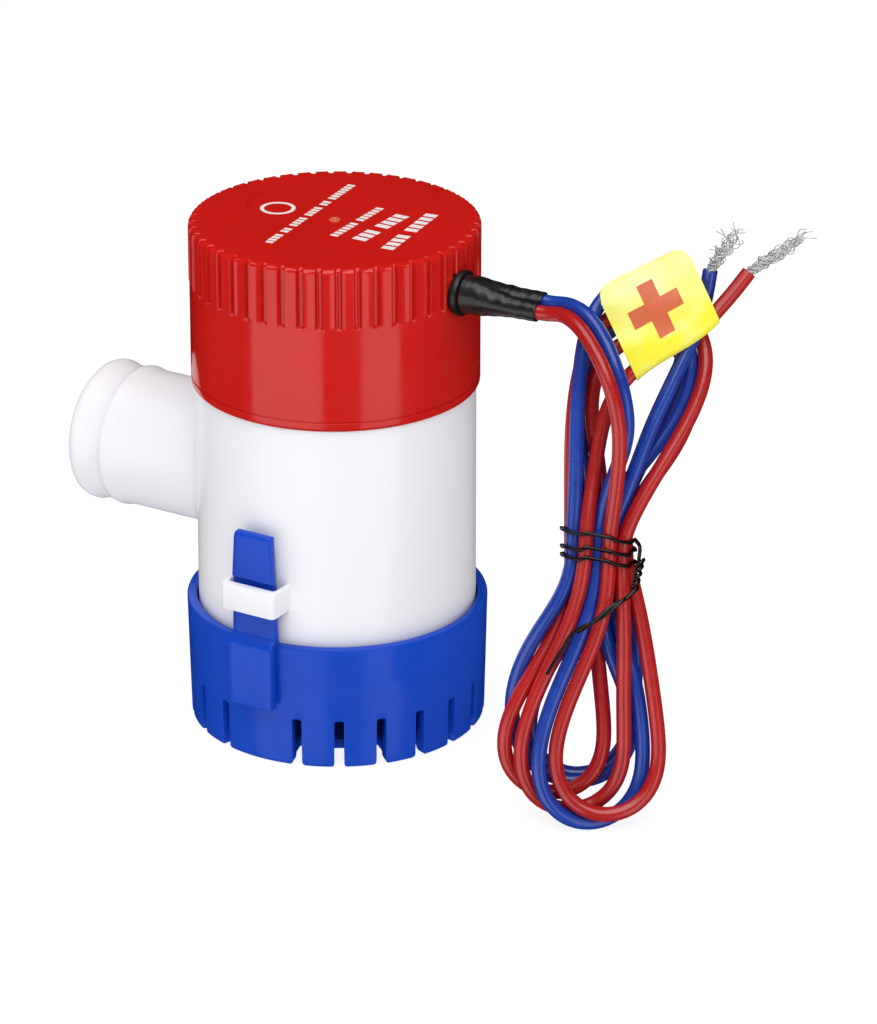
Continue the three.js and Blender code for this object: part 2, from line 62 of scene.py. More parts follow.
# ---- sizes repeated from the part's source ----
HOUSING_R = 28.5 * MM
EYE_R = 9 * MM
RIB_COUNT = 48
SLOT_COUNT = 22
RIB_DEPTH = 12.5 * MM
OUTLET_Z = 50.4 * MM
OUTLET_R = 14.3 * MM
OUTLET_BORE = 12.2 * MM
LOOP_Z = (33.7 * MM, 39.4 * MM)
GLAND_Z = 97.6 * MM
SLEEVE_START = 31.5 * MM
SLEEVE_LENGTH = 15.7 * MM
SLEEVE_SWING = rad(5)
WIRE_R = 1.5 * MM
TIE_R = 0.38 * MM
STRAND_R = 0.085 * MM
WIRE_OFFSET = 1.62 * MM
WIRE_TILT = rad(21)
HANK_AT = Vector((72.7, -24.8, 0)) * MM
HANK_TURN = rad(32.5)
HANK_LEAN = rad(18)

# The camera's side of the pump, and the two reflected cards, in degrees round from it.
VIEW_AZIMUTH = 32.5
BAND_LEFT = (-68, -10)
BAND_RIGHT = (20, 51)


# ---- camera, light and floor ----
def add_camera():
    data = bpy.data.cameras.new("camera")
    data.lens = 195
    data.sensor_width = 36
    camera = bpy.data.objects.new("camera", data)
    azimuth, yaw, pitch = rad(VIEW_AZIMUTH), rad(1.142), rad(23.2)
    distance, height = 1.044, 0.491
    camera.location = (distance * math.sin(azimuth), -distance * math.cos(azimuth), height)
    camera.rotation_euler = (math.pi / 2 - pitch, 0, azimuth - yaw)
    bpy.context.scene.collection.objects.link(camera)
    bpy.context.scene.camera = camera


def add_panel_light(name, azimuth, elevation, distance, size, power):
    """A soft panel that faces the pump, at an angle round it from the camera's side (-Y)."""
    data = bpy.data.lights.new(name, "AREA")
    data.shape = "RECTANGLE"
    data.size, data.size_y = size
    data.energy = power
    light = bpy.data.objects.new(name, data)
    a, e = rad(azimuth), rad(elevation)
    away = Vector((math.sin(a) * math.cos(e), -math.cos(a) * math.cos(e), math.sin(e)))
    light.location = Vector((0.01, 0, 0.06)) + away * distance
    light.rotation_euler = away.to_track_quat("Z", "Y").to_euler()
    bpy.context.scene.collection.objects.link(light)


def add_studio():
    world = bpy.data.worlds.new("studio")
    bpy.context.scene.world = world
    world.use_nodes = True
    fill(world.node_tree.nodes["Background"], Color=(1, 1, 1, 1), Strength=0.46)
    world.cycles_visibility.glossy = False
    add_panel_light("front_softbox", VIEW_AZIMUTH + 12, 48, 0.95, (0.85, 0.6), 4.2)
    add_panel_light("top_softbox", VIEW_AZIMUTH - 60, 76, 0.9, (0.7, 0.7), 3.2)
    add_floor()
    add_reflector("left_card", *BAND_LEFT, 1.3)
    add_reflector("right_card", *BAND_RIGHT, 1.2)


def glowing_white(name, glow, base):
    """White card, lit from within."""
    material, _, shader = new_material(name)
    fill(shader, Base_Color=(base, base, base, 1), Roughness=0.9, Specular_IOR_Level=0)
    fill(shader, Emission_Color=(1, 1, 1, 1), Emission_Strength=glow)
    return material


def add_floor():
    """A white floor that the gloss of the pieces doesn't mirror."""
    half = 4.0
    mesh = bpy.data.meshes.new("floor")
    corners = [(-half, -half, 0), (half, -half, 0), (half, half, 0), (-half, half, 0)]
    mesh.from_pydata(corners, [], [(0, 1, 2, 3)])
    mesh.materials.append(glowing_white("floor_white", 0.86, 0.24))
    floor = add_object("floor", mesh)
    floor.visible_glossy = False


def add_reflector(name, start, end, glow):
    """A tall curved card, seen only in reflections: it makes a soft band down the pump's side."""
    low, high, away = -0.5, 0.16, 0.62
    steps = 12
    points = []
    for i in range(steps + 1):
        angle = rad(VIEW_AZIMUTH + start + (end - start) * i / steps)
        points += [(away * math.sin(angle), -away * math.cos(angle), z) for z in (low, high)]
    faces = [(2 * i, 2 * i + 2, 2 * i + 3, 2 * i + 1) for i in range(steps)]
    mesh = bpy.data.meshes.new(name)
    mesh.from_pydata(points, [], faces)
    mesh.materials.append(glowing_white(name, glow, 0))
    card = add_object(name, mesh)
    card.visible_camera = False
    card.visible_diffuse = False
    card.visible_shadow = False


# ---- materials ----
def new_material(name):
    material = bpy.data.materials.new(name)
    material.use_nodes = True
    return material, material.node_tree, material.node_tree.nodes["Principled BSDF"]


def fill(node, **values):
    """Sets a node's inputs by name, with _ for each space."""
    for name, value in values.items():
        node.inputs[name.replace("_", " ")].default_value = value
    return node


def noise(tree, scale, detail=3.0, roughness=0.5, stretch=(1, 1, 1)):
    """Noise over the piece's own coordinates, in cycles per metre."""
    place = tree.nodes.new("ShaderNodeTexCoord")
    mapping = fill(tree.nodes.new("ShaderNodeMapping"), Scale=stretch)
    texture = fill(tree.nodes.new("ShaderNodeTexNoise"), Scale=scale, Detail=detail, Roughness=roughness)
    tree.links.new(place.outputs["Object"], mapping.inputs["Vector"])
    tree.links.new(mapping.outputs["Vector"], texture.inputs["Vector"])
    return texture.outputs["Fac"]


def ranged(tree, value, low, high, start=0.3, end=0.7):
    """value from start to end becomes low to high."""
    node = fill(tree.nodes.new("ShaderNodeMapRange"), From_Min=start, From_Max=end, To_Min=low, To_Max=high)
    tree.links.new(value, node.inputs["Value"])
    return node.outputs["Result"]


def coloured(tree, shader, factor, first, second):
    """Blends two colours by a factor into the shader's base colour."""
    node = tree.nodes.new("ShaderNodeMix")
    node.data_type = "RGBA"
    node.inputs["A"].default_value = (*first, 1)
    node.inputs["B"].default_value = (*second, 1)
    tree.links.new(factor, node.inputs["Factor"])
    tree.links.new(node.outputs["Result"], shader.inputs["Base Color"])


def glossed(tree, shader, scale, low, high):
    """Roughness that wanders between two values."""
    tree.links.new(ranged(tree, noise(tree, scale), low, high), shader.inputs["Roughness"])


def bumped(tree, shader, height, distance, strength=1.0):
    node = fill(tree.nodes.new("ShaderNodeBump"), Distance=distance, Strength=strength)
    tree.links.new(height, node.inputs["Height"])
    tree.links.new(node.outputs["Normal"], shader.inputs["Normal"])


def moulded_plastic(name, colour, deep, roughness, specular, ripple=0.00002, spread=0.05):
    """Injection-moulded plastic: a slight flow mottle, fine ripple and uneven gloss."""
    material, tree, shader = new_material(name)
    flow = ranged(tree, noise(tree, 45, 4), 0, 1)
    coloured(tree, shader, flow, colour, deep)
    glossed(tree, shader, 160, roughness - spread / 2, roughness + spread)
    bumped(tree, shader, noise(tree, 260), ripple, 0.6)
    fill(shader, Specular_IOR_Level=specular)
    return material


def grained_metal(name, colour, deep, roughness, grain, stretch=(1, 1, 1), metal=1.0):
    """Metal with a drawn or brushed grain, and broad patches of a deeper tone."""
    material, tree, shader = new_material(name)
    patches = ranged(tree, noise(tree, grain / 10, 4), 0, 1)
    coloured(tree, shader, patches, colour, deep)
    fill(shader, Metallic=metal)
    line = noise(tree, grain, 4, 0.6, stretch)
    tree.links.new(ranged(tree, line, roughness - 0.08, roughness + 0.12), shader.inputs["Roughness"])
    bumped(tree, shader, line, 0.00001, 0.7)
    return material


def sintered(name, colour, deep, roughness, metallic=0.0):
    """Pressed powder: speckled, and slightly rough to the touch."""
    material, tree, shader = new_material(name)
    speck = noise(tree, 3000, 2, 0.7)
    coloured(tree, shader, ranged(tree, speck, 0, 1), colour, deep)
    fill(shader, Metallic=metallic, Roughness=roughness)
    bumped(tree, shader, speck, 0.00004, 0.8)
    return material


def wire_vinyl(name, colour, deep):
    """PVC insulation: smooth, with faint drawn ripple and small scuffs in the gloss."""
    material, tree, shader = new_material(name)
    coloured(tree, shader, ranged(tree, noise(tree, 90), 0, 1), colour, deep)
    glossed(tree, shader, 500, 0.22, 0.29)
    bumped(tree, shader, noise(tree, 600, 2), 0.00001, 0.5)
    fill(shader, Specular_IOR_Level=0.8)
    return material


def black_rubber(name, colour, roughness, grain, depth):
    """Black rubber or shrunk sleeving, greyer where it is worn."""
    material, tree, shader = new_material(name)
    worn = ranged(tree, noise(tree, 300, 4), 0, 1)
    coloured(tree, shader, worn, colour, tuple(2.2 * c for c in colour))
    glossed(tree, shader, 900, roughness - 0.08, roughness + 0.1)
    bumped(tree, shader, noise(tree, grain), depth, 0.8)
    return material


def tag_vinyl():
    """Thin yellow vinyl. Painted light: its colour runs from deep yellow at the fold to paler up the panel,
    for the light that the thin vinyl lets through.
    """
    material, tree, shader = new_material("yellow_vinyl")
    place = tree.nodes.new("ShaderNodeTexCoord")
    dot = tree.nodes.new("ShaderNodeVectorMath")
    dot.operation = "DOT_PRODUCT"
    fold, free = (HANK @ (Vector(p).to_3d()) for p in ((19.4, 95.1, 0), (11.7, 111.9, 0)))
    up = (free - fold).normalized()
    dot.inputs[1].default_value = up
    tree.links.new(place.outputs["Object"], dot.inputs[0])
    base = fold.dot(up)
    # painted light: the colour pales with height above the fold, for the light let through the thin vinyl
    rise = ranged(tree, dot.outputs["Value"], 0, 0.8, base + 0.004, base + 0.015)
    mottle = ranged(tree, noise(tree, 150), -0.35, 0.35)
    painted_light_and_mottle = tree.nodes.new("ShaderNodeMath")
    painted_light_and_mottle.operation = "ADD"
    painted_light_and_mottle.use_clamp = True
    tree.links.new(rise, painted_light_and_mottle.inputs[0])
    tree.links.new(mottle, painted_light_and_mottle.inputs[1])
    coloured(tree, shader, painted_light_and_mottle.outputs["Value"], (0.95, 0.87, 0.045), (0.95, 0.935, 0.40))
    glossed(tree, shader, 500, 0.22, 0.36)
    bumped(tree, shader, noise(tree, 240), 0.00008, 0.5)
    fill(shader, Subsurface_Weight=0.2, Subsurface_Radius=(0.002, 0.002, 0.0005))
    return material


def plain_print(name, colour):
    """Printing ink: nearly flat, thinner here and there."""
    material, tree, shader = new_material(name)
    thin = ranged(tree, noise(tree, 1500, 3, 0.7), 0, 1, 0.45, 0.75)
    coloured(tree, shader, thin, colour, tuple(0.86 * c for c in colour))
    fill(shader, Roughness=0.42)
    return material


def make_materials():
    """One material for each slot of the record, and two inks."""
    plastic, metal, powder, black = moulded_plastic, grained_metal, sintered, black_rubber
    return {
        "red_plastic": plastic("red_gloss", (0.62, 0.012, 0.008), (0.56, 0.010, 0.006), 0.14, 0.5),
        "white_plastic": plastic("white_gloss", (0.90, 0.90, 0.935), (0.892, 0.892, 0.93), 0.24, 0.3,
                                 spread=0.02),
        "blue_plastic": plastic("blue_gloss", (0.006, 0.070, 0.56), (0.005, 0.056, 0.49), 0.22, 0.25),
        "nylon": plastic("nylon_matte", (0.74, 0.70, 0.58), (0.66, 0.62, 0.50), 0.5, 0.4, 0.00005),
        "steel": metal("plated_steel", (0.56, 0.57, 0.58), (0.44, 0.45, 0.47), 0.3, 1600, (1, 1, 0.06)),
        "iron": metal("laminations", (0.17, 0.17, 0.18), (0.10, 0.10, 0.11), 0.48, 2400, (0.05, 0.05, 1)),
        "magnet": powder("ferrite", (0.030, 0.030, 0.034), (0.055, 0.055, 0.060), 0.62),
        "copper": metal("enamelled_copper", (0.55, 0.20, 0.07), (0.42, 0.12, 0.03), 0.28, 1100,
                        (1, 1, 0.1)),
        "brass": metal("stamped_brass", (0.68, 0.46, 0.16), (0.55, 0.36, 0.11), 0.3, 1500, (0.2, 1, 1)),
        "bronze": powder("sintered_bronze", (0.45, 0.25, 0.10), (0.32, 0.16, 0.06), 0.45, 1.0),
        "carbon": powder("pressed_carbon", (0.018, 0.018, 0.02), (0.04, 0.04, 0.042), 0.7),
        "rubber": black("black_rubber", (0.007, 0.007, 0.007), 0.36, 1400, 0.00003),
        "heat_shrink": black("shrunk_sleeve", (0.008, 0.008, 0.009), 0.27, 700, 0.00006),
        "red_wire": wire_vinyl("red_insulation", (0.47, 0.010, 0.009), (0.38, 0.007, 0.007)),
        "blue_wire": wire_vinyl("blue_insulation", (0.007, 0.052, 0.39), (0.005, 0.036, 0.30)),
        "tinned_copper": metal("tinned_strands", (0.80, 0.80, 0.82), (0.55, 0.54, 0.55), 0.3, 5000,
                               metal=0.55),
        "tag_vinyl": tag_vinyl(),
        "tie_wire": black("tie_coating", (0.002, 0.002, 0.002), 0.24, 1800, 0.00001),
        "print": plain_print("print_white", (0.88, 0.80, 0.80)),
        "mark": plain_print("print_orange", (0.66, 0.13, 0.045)),
    }


# ---- mesh helpers ----
def add_object(name, data):
    obj = bpy.data.objects.new(name, data)
    bpy.context.scene.collection.objects.link(obj)
    return obj


def shade(mesh, sharp=32):
    """Smooth faces, with edges sharper than this angle left crisp."""
    mesh.polygons.foreach_set("use_smooth", [True] * len(mesh.polygons))
    mesh.set_sharp_from_angle(angle=rad(sharp))
    mesh.update()


def outward(mesh):
    shell = bmesh.new()
    shell.from_mesh(mesh)
    bmesh.ops.recalc_face_normals(shell, faces=shell.faces)
    shell.to_mesh(mesh)
    shell.free()


def make_mesh(name, points, faces, sharp=32):
    mesh = bpy.data.meshes.new(name)
    mesh.from_pydata([tuple(p) for p in points], [], faces)
    outward(mesh)
    shade(mesh, sharp)
    return mesh


def ring_faces(rows, columns, loop_rows=False):
    """Quads over a grid of rows x columns, closed round the columns."""
    count = rows if loop_rows else rows - 1
    faces = []
    for i in range(count):
        a, b = i * columns, ((i + 1) % rows) * columns
        faces += [(a + j, a + (j + 1) % columns, b + (j + 1) % columns, b + j) for j in range(columns)]
    return faces


def lathe(name, profile, columns=96, warp=None, sharp=32):
    """Turns [radius, height] round Z. A profile that starts and ends on the axis is capped there.

    columns is a count or a list of angles. warp(radius, height, angle) may return a new pair.
    """
    angles = columns if isinstance(columns, list) else [2 * math.pi * j / columns for j in range(columns)]
    count = len(angles)
    on_axis = profile[0][0] == 0
    inner = profile[1:-1] if on_axis else profile
    points = []
    for r, z in inner:
        for angle in angles:
            radius, height = warp(r, z, angle) if warp else (r, z)
            points.append((radius * math.cos(angle), radius * math.sin(angle), height))
    faces = ring_faces(len(inner), count, loop_rows=not on_axis)
    if on_axis:
        for row, (_, z) in ((0, profile[0]), (len(inner) - 1, profile[-1])):
            centre = len(points)
            points.append((0, 0, z))
            start = row * count
            faces += [(start + j, start + (j + 1) % count, centre) for j in range(count)]
    return make_mesh(name, points, faces, sharp)


def scaled(profile):
    """A profile in millimetres, in metres."""
    return [(a * MM, b * MM) for a, b in profile]


def arc(centre, radius, start, end, steps):
    """Points on an arc in a profile's plane; angles in degrees."""
    turns = [rad(start + (end - start) * i / steps) for i in range(steps + 1)]
    return [(centre[0] + radius * math.cos(t), centre[1] + radius * math.sin(t)) for t in turns]


def prism(name, outline, low, high, place=Matrix(), sharp=32):
    """An outline in X and Y raised from low to high, then placed."""
    count = len(outline)
    points = [place @ Vector((x, y, low)) for x, y in outline]
    points += [place @ Vector((x, y, high)) for x, y in outline]
    faces = [tuple(range(count)), tuple(range(count, 2 * count))]
    faces += [(i, (i + 1) % count, count + (i + 1) % count, count + i) for i in range(count)]
    return make_mesh(name, points, faces, sharp)


def applied(obj):
    """Replaces the object's mesh with its modified one and drops the modifiers."""
    graph = bpy.context.evaluated_depsgraph_get()
    mesh = bpy.data.meshes.new_from_object(obj.evaluated_get(graph))
    obj.modifiers.clear()
    obj.data = mesh
    return obj


def joined(name, meshes):
    """Several meshes as one."""
    shell = bmesh.new()
    for mesh in meshes:
        shell.from_mesh(mesh)
    whole = bpy.data.meshes.new(name)
    shell.to_mesh(whole)
    shell.free()
    return whole


def combine(base, others, operation):
    """Joins other meshes to the base object, or cuts them out of it."""
    for mesh in others:
        tool = add_object("tool", mesh)
        modifier = base.modifiers.new("combine", "BOOLEAN")
        modifier.operation = operation
        modifier.solver = "EXACT"
        modifier.object = tool
        applied(base)
        bpy.data.objects.remove(tool)
    return base


def softened(obj, width, segments=2, angle=40):
    modifier = obj.modifiers.new("edges", "BEVEL")
    modifier.width = width
    modifier.segments = segments
    modifier.limit_method = "ANGLE"
    modifier.angle_limit = rad(angle)
    return applied(obj)


def merged(obj, distance=1e-6):
    shell = bmesh.new()
    shell.from_mesh(obj.data)
    bmesh.ops.remove_doubles(shell, verts=shell.verts, dist=distance)
    bmesh.ops.dissolve_degenerate(shell, edges=shell.edges, dist=distance)
    shell.to_mesh(obj.data)
    shell.free()
    return obj


def catmull(points, step):
    """A smooth line through points, resampled at even steps."""
    p = np.asarray(points, float)
    p = np.vstack([2 * p[0] - p[1], p, 2 * p[-1] - p[-2]])
    line = []
    for i in range(1, len(p) - 2):
        chord = [max(np.linalg.norm(p[i + k] - p[i + k - 1]), 1e-9) ** 0.5 for k in range(3)]
        t0, t1 = 0.0, chord[0]
        t2, t3 = t1 + chord[1], t1 + chord[1] + chord[2]
        for t in np.linspace(t1, t2, 24, endpoint=i == len(p) - 3):
            a1 = (t1 - t) / (t1 - t0) * p[i - 1] + (t - t0) / (t1 - t0) * p[i]
            a2 = (t2 - t) / (t2 - t1) * p[i] + (t - t1) / (t2 - t1) * p[i + 1]
            a3 = (t3 - t) / (t3 - t2) * p[i + 1] + (t - t2) / (t3 - t2) * p[i + 2]
            b1 = (t2 - t) / (t2 - t0) * a1 + (t - t0) / (t2 - t0) * a2
            b2 = (t3 - t) / (t3 - t1) * a2 + (t - t1) / (t3 - t1) * a3
            line.append((t2 - t) / (t2 - t1) * b1 + (t - t1) / (t2 - t1) * b2)
    line = np.array(line)
    return resampled(line, max(2, round(length_of(line) / step)))


def length_of(line):
    return float(np.linalg.norm(np.diff(line, axis=0), axis=1).sum())


def resampled(line, spans):
    along = np.concatenate([[0], np.cumsum(np.linalg.norm(np.diff(line, axis=0), axis=1))])
    want = np.linspace(0, along[-1], spans + 1)
    return np.column_stack([np.interp(want, along, line[:, k]) for k in range(3)])


def add_curve(name, lines, radius, slot, sides):
    """Round wires along lines of points, as one curve object on the pump."""
    data = bpy.data.curves.new(name, "CURVE")
    data.dimensions = "3D"
    data.bevel_depth = radius
    data.bevel_resolution = sides
    data.use_fill_caps = True
    for line in lines:
        spline = data.splines.new("POLY")
        spline.points.add(len(line) - 1)
        flat = np.column_stack([line, np.ones(len(line))]).ravel()
        spline.points.foreach_set("co", flat)
        spline.use_smooth = True
    return finish_piece(add_object(name, data), "pump", slot)


def finish_piece(obj, body, slot, *nodes, ink=None):
    """Gives a piece its body and the material for its slot, the ink's where one is given, and hides the CAD
    nodes it stands for.
    """
    obj.data.materials.clear()
    obj.data.materials.append(MATERIALS[ink or slot])
    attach(obj, body)
    if nodes:
        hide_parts(*nodes)
    return obj


# ---- the two wires ----
# The hank's frame, in millimetres: u across, v up along it, n to its front.
HANK = Matrix.Translation(HANK_AT) @ Matrix.Rotation(HANK_TURN, 4, "Z") \
    @ Matrix.Rotation(math.pi / 2 - HANK_LEAN, 4, "X") @ Matrix.Scale(MM, 4)
HANK_BACK = HANK.inverted()
TIE_V = 56
TIE_MIDDLE = (3.5, -1.5)
TIE_HALF = (5.65, 4.0)  # how far a wire's centre may lie from the tie's middle, along u and n
UPPER_LEAN = 0.18  # the upper turns lean towards +u
BEND_OUT = 60.0  # how strongly the drawn route's own kinks are smoothed
GIVE = 3.0  # how far along a wire a push spreads

# The free leads, from the sleeve to the tie: row frame in millimetres, and then the hank's frame.
LEADS = {
    "red": [
        (53.2, -0.6, 97.7), (59.0, -3.6, 96.8), (63.7, -5.8, 93.9), (66.9, -7.0, 89.7), (69.3, -7.5, 84.2),
        (70.7, -7.9, 77.5), (71.0, -8.8, 69.5),
    ],
    "blue": [
        (52.9, 2.6, 98.7), (58.8, 0.3, 98.0), (63.6, -1.9, 94.9), (66.9, -3.2, 90.0), (69.2, -3.8, 84.3),
    ],
}
# The blue lead then goes down behind the red one, in the hank's frame.
LEAD_BEHIND = {
    "red": [(7.3, 67, 6.6)],
    "blue": [(9.0, 79.5, 5.4), (8.0, 75.5, 3.9), (6.2, 71.5, 3.0), (4.6, 66, 2.3)],
}
# Each pass through the tie as (u, n), then the turn that follows it as
# (first flank u, last flank u, tip v, n of the first flank, of the tip and of the last flank).
PASSES = {
    "red": [
        ((6.5, 1.6), (-5.2, 15.2, 3.6, 1.2, 1.4, 0.2)),
        ((9.6, -2.0), (17.0, -3.4, 97.7, -6.2, -5.6, -4.2)),
        ((3.4, -4.6), (4.4, -15.2, 7.2, -5.0, -5.0, -2.2)),
        ((-1.0, -2.0), (-6.0, 16.8, 104.5, -3.4, -6.2, -2.6)),
        ((8.8, 1.0), (8.2, -12.0, 4.3, -0.6, -2.4, -0.6)),
        ((0.6, 1.4), None),
    ],
    "blue": [
        ((3.5, 1.4), (-8.4, 11.8, 1.5, 0.8, -1.6, -2.4)),
        ((7.0, -4.4), (14.2, -6.4, 109.0, -7.0, -7.6, -1.0)),
        ((-2.0, 0.9), (-13.2, 11.0, 9.2, -4.2, -5.8, -5.2)),
        ((5.0, -1.7), (15.8, -5.0, 101.7, -4.2, -6.8, -7.0)),
        ((1.8, -1.7), (-9.8, 10.0, 9.8, -7.6, -8.4, -7.8)),
        ((7.6, -1.6), None),
    ],
}
TAILS = {
    "red": [
        (2.7, 69, 0.2), (3.8, 77, 0.4), (5.3, 84, 0.9), (7.4, 88.2, 1.2), (10.4, 91.6, 1.3),
        (15.4, 94.8, 1.3), (20.5, 98.0, 1.3), (24.5, 100.6, 1.2), (27.3, 103.5, 0.8), (30.4, 107.0, 0.4),
        (33.3, 110.6, 0),
    ],
    "blue": [
        (10.8, 69, -0.6), (14.1, 80.6, -0.7), (16.8, 86.2, -1.0), (20.8, 94.6, -1.6), (23.6, 100.6, -2.0),
        (24.9, 106, -1.4), (25.7, 111.0, -0.2),
    ],
}


def in_sleeve(side, along):
    """A point on a wire's centre line inside the sleeve, at a distance along it."""
    across = side * WIRE_OFFSET * math.cos(WIRE_TILT)
    up = side * WIRE_OFFSET * math.sin(WIRE_TILT)
    return Vector((
        SLEEVE_START + along * math.cos(SLEEVE_SWING) - across * math.sin(SLEEVE_SWING),
        along * math.sin(SLEEVE_SWING) + across * math.cos(SLEEVE_SWING),
        GLAND_Z + up,
    ))


def eased(t):
    """From 0 to 1, eased at both ends."""
    return 0.8 * t * t * (3 - 2 * t) + 0.2 * t


def turn_of(entry, leave, turn, below):
    """One turn beyond the tie: out along its first flank, round the fold and back along its last."""
    first, last, tip, n_first, n_tip, n_last = turn
    rise, middle = abs(last - first) / 2, (first + last) / 2
    shoulder = tip + rise if below else tip - rise
    start = TIE_V - 3 if below else TIE_V + 3
    flank = shoulder + (2 if below else -5)
    steps = (0.2, 0.4, 0.6, 0.8, 1.0)
    out = [(entry[0] + (first - entry[0]) * eased(t), start + (flank - start) * t,
            entry[1] + (n_first - entry[1]) * eased(t)) for t in steps]
    back = [(leave[0] + (last - leave[0]) * eased(t), start + (flank - start) * t,
             leave[1] + (n_last - leave[1]) * eased(t)) for t in reversed(steps)]
    fold = []
    for i in range(9):
        angle = math.pi * i / 8
        side = 0.5 - math.cos(angle) / 2
        n_edge = n_first + (n_last - n_first) * side
        n = n_edge + (n_tip - (n_first + n_last) / 2) * math.sin(angle)
        v = shoulder + (-1 if below else 1) * rise * math.sin(angle)
        fold.append((middle + (first - middle) * math.cos(angle), v, n))
    points = out + fold + back
    lean = 0 if below else UPPER_LEAN
    return [(u + lean * (v - TIE_V), v, n) for u, v, n in points]


def draft_route(name, side):
    """A wire's whole route in the hank's frame, before it is settled."""
    route = [HANK_BACK @ in_sleeve(side, along * MM) for along in (15.5, 17.5)]
    route += [HANK_BACK @ (Vector(p) * MM) for p in LEADS[name]]
    route = [tuple(p) for p in route] + LEAD_BEHIND[name]
    passes = PASSES[name]
    for i, ((u, n), turn) in enumerate(passes):
        below = i % 2 == 0
        hurry = -1.5 if below else 1.5
        route += [(u, TIE_V - hurry, n), (u, TIE_V + hurry, n)]
        if turn:
            route += turn_of((u, n), passes[i + 1][0], turn, below)
    return catmull(route + TAILS[name], 1.25)


def stiffened(count, held, strength):
    """The matrix that smooths a row of points like a springy rod, with the held points kept."""
    second = np.zeros((count - 2, count))
    place = np.arange(count - 2)
    second[place, place] = 1
    second[place, place + 1] = -2
    second[place, place + 2] = 1
    matrix = np.eye(count) + strength * second.T @ second
    matrix[held] = np.eye(count)[held]
    return np.linalg.inv(matrix)


def pushed_apart(p, pairs, apart):
    """How far to move each point so that no two wires are nearer than apart."""
    i, j = pairs
    gap = p[i] - p[j]
    distance = np.linalg.norm(gap, axis=1)
    deep = distance < apart
    i, j, gap, distance = i[deep], j[deep], gap[deep], distance[deep]
    push = gap / np.maximum(distance, 1e-6)[:, None] * (apart - distance)[:, None] * 0.5
    move = np.zeros_like(p)
    hits = np.zeros(len(p))
    for ends, share in ((i, push), (j, -push)):
        np.add.at(move, ends, share)
        np.add.at(hits, ends, 1)
    return 1.3 * move / np.maximum(hits, 1.5)[:, None]


def keep_off_floor(p, fixed):
    sin_lean, cos_lean = math.sin(HANK_LEAN), math.cos(HANK_LEAN)
    height = p[:, 1] * cos_lean + p[:, 2] * sin_lean
    low = np.maximum(WIRE_R / MM + 0.03 - height, 0) * (~fixed)
    p[:, 1] += low * cos_lean
    p[:, 2] += low * sin_lean


def keep_in_tie(p, in_tie):
    across = (p[:, 0] - TIE_MIDDLE[0]) / TIE_HALF[0]
    deep = (p[:, 2] - TIE_MIDDLE[1]) / TIE_HALF[1]
    out = np.sqrt(across ** 2 + deep ** 2)
    squeeze = np.where(in_tie & (out > 1), 1 / np.maximum(out, 1e-6), 1.0)
    p[:, 0] = TIE_MIDDLE[0] + across * squeeze * TIE_HALF[0]
    p[:, 2] = TIE_MIDDLE[1] + deep * squeeze * TIE_HALF[1]


def keep_length(q, span, loose):
    """Brings each stretch between two points of a wire back to its own length."""
    for parity in (0, 1):
        first = np.arange(parity, len(q) - 1, 2)
        d = q[first + 1] - q[first]
        size = np.linalg.norm(d, axis=1)
        shift = d * ((size - span) / np.maximum(size, 1e-6))[:, None] * 0.5
        q[first] += shift * loose[first]
        q[first + 1] -= shift * loose[first + 1]


def settle(lines, rounds):
    """Lets the wires find their places: none through another, no kink, nothing through the floor.

    Positions are moved directly. Each round bends the wires like springy rods, pushes them apart
    where they are nearer than a diameter, holds them in the tie and above the floor, and keeps
    their lengths.
    """
    draft = np.vstack(lines)
    counts = [len(line) for line in lines]
    ends = np.cumsum(counts)
    starts = ends - counts
    wire_of = np.repeat(np.arange(len(lines)), counts)
    fixed = np.zeros(len(draft), bool)
    for a, b in zip(starts, ends):
        fixed[a:a + 5] = True
        fixed[b - 10:b] = True
    in_tie = np.abs(draft[:, 1] - TIE_V) < 3
    wires = []
    for a, b in zip(starts, ends):
        draft[a:b] = stiffened(b - a, fixed[a:b], BEND_OUT) @ draft[a:b]
        span = length_of(draft[a:b]) / (b - a - 1)
        wires.append((a, b, span, stiffened(b - a, fixed[a:b], GIVE)))
    apart = 2 * WIRE_R / MM + 0.06
    free = (~fixed)[:, None]
    p = draft.copy()
    for step in range(rounds):
        if step % 6 == 0:
            pairs = close_pairs(p, wire_of, apart + 1.5)
        for a, b, _, rod in wires:
            p[a:b] = draft[a:b] + rod @ (p[a:b] - draft[a:b])
        p += pushed_apart(p, pairs, apart) * free
        keep_off_floor(p, fixed)
        keep_in_tie(p, in_tie)
        for a, b, span, _ in wires:
            keep_length(p[a:b], span, free[a:b])
    return [p[a:b] for a, b in zip(starts, ends)]


def close_pairs(p, wire_of, reach):
    """Pairs of points nearer than reach that aren't neighbours along one wire."""
    place = np.arange(len(p))
    square = (p ** 2).sum(1)
    distance = square[:, None] + square[None, :] - 2 * p @ p.T
    near = distance < reach * reach
    same = wire_of[:, None] == wire_of[None, :]
    neighbours = same & (np.abs(place[:, None] - place[None, :]) < 8)
    near &= ~neighbours
    return np.nonzero(np.triu(near, 1))


def to_row(points):
    """Points from the hank's frame to the row frame, in metres."""
    turn = np.array(HANK)
    return points @ turn[:3, :3].T + turn[:3, 3]


def wire_routes():
    names = ("red", "blue")
    lines = [draft_route(name, side) for name, side in zip(names, (-1, 1))]
    lines = settle(lines, 420)
    return dict(zip(names, lines))


# ---- motor cap ----
def smooth(value, start, end):
    t = min(max((value - start) / (end - start), 0), 1)
    return t * t * (3 - 2 * t)


def cap_angles():
    """Columns crowded at each groove's edges."""
    near = (0.3, 0.42, 0.54, 0.66, 0.8, 1.2)
    offsets = sorted([-s for s in near] + [0] + list(near))
    pitch = 360 / RIB_COUNT
    turns = []
    for i in range(RIB_COUNT):
        middle = (i + 0.5) * pitch
        turns += [rad(middle) + s * MM / CAP_R for s in offsets]
        turns.append(rad(middle + pitch / 2))
    return turns


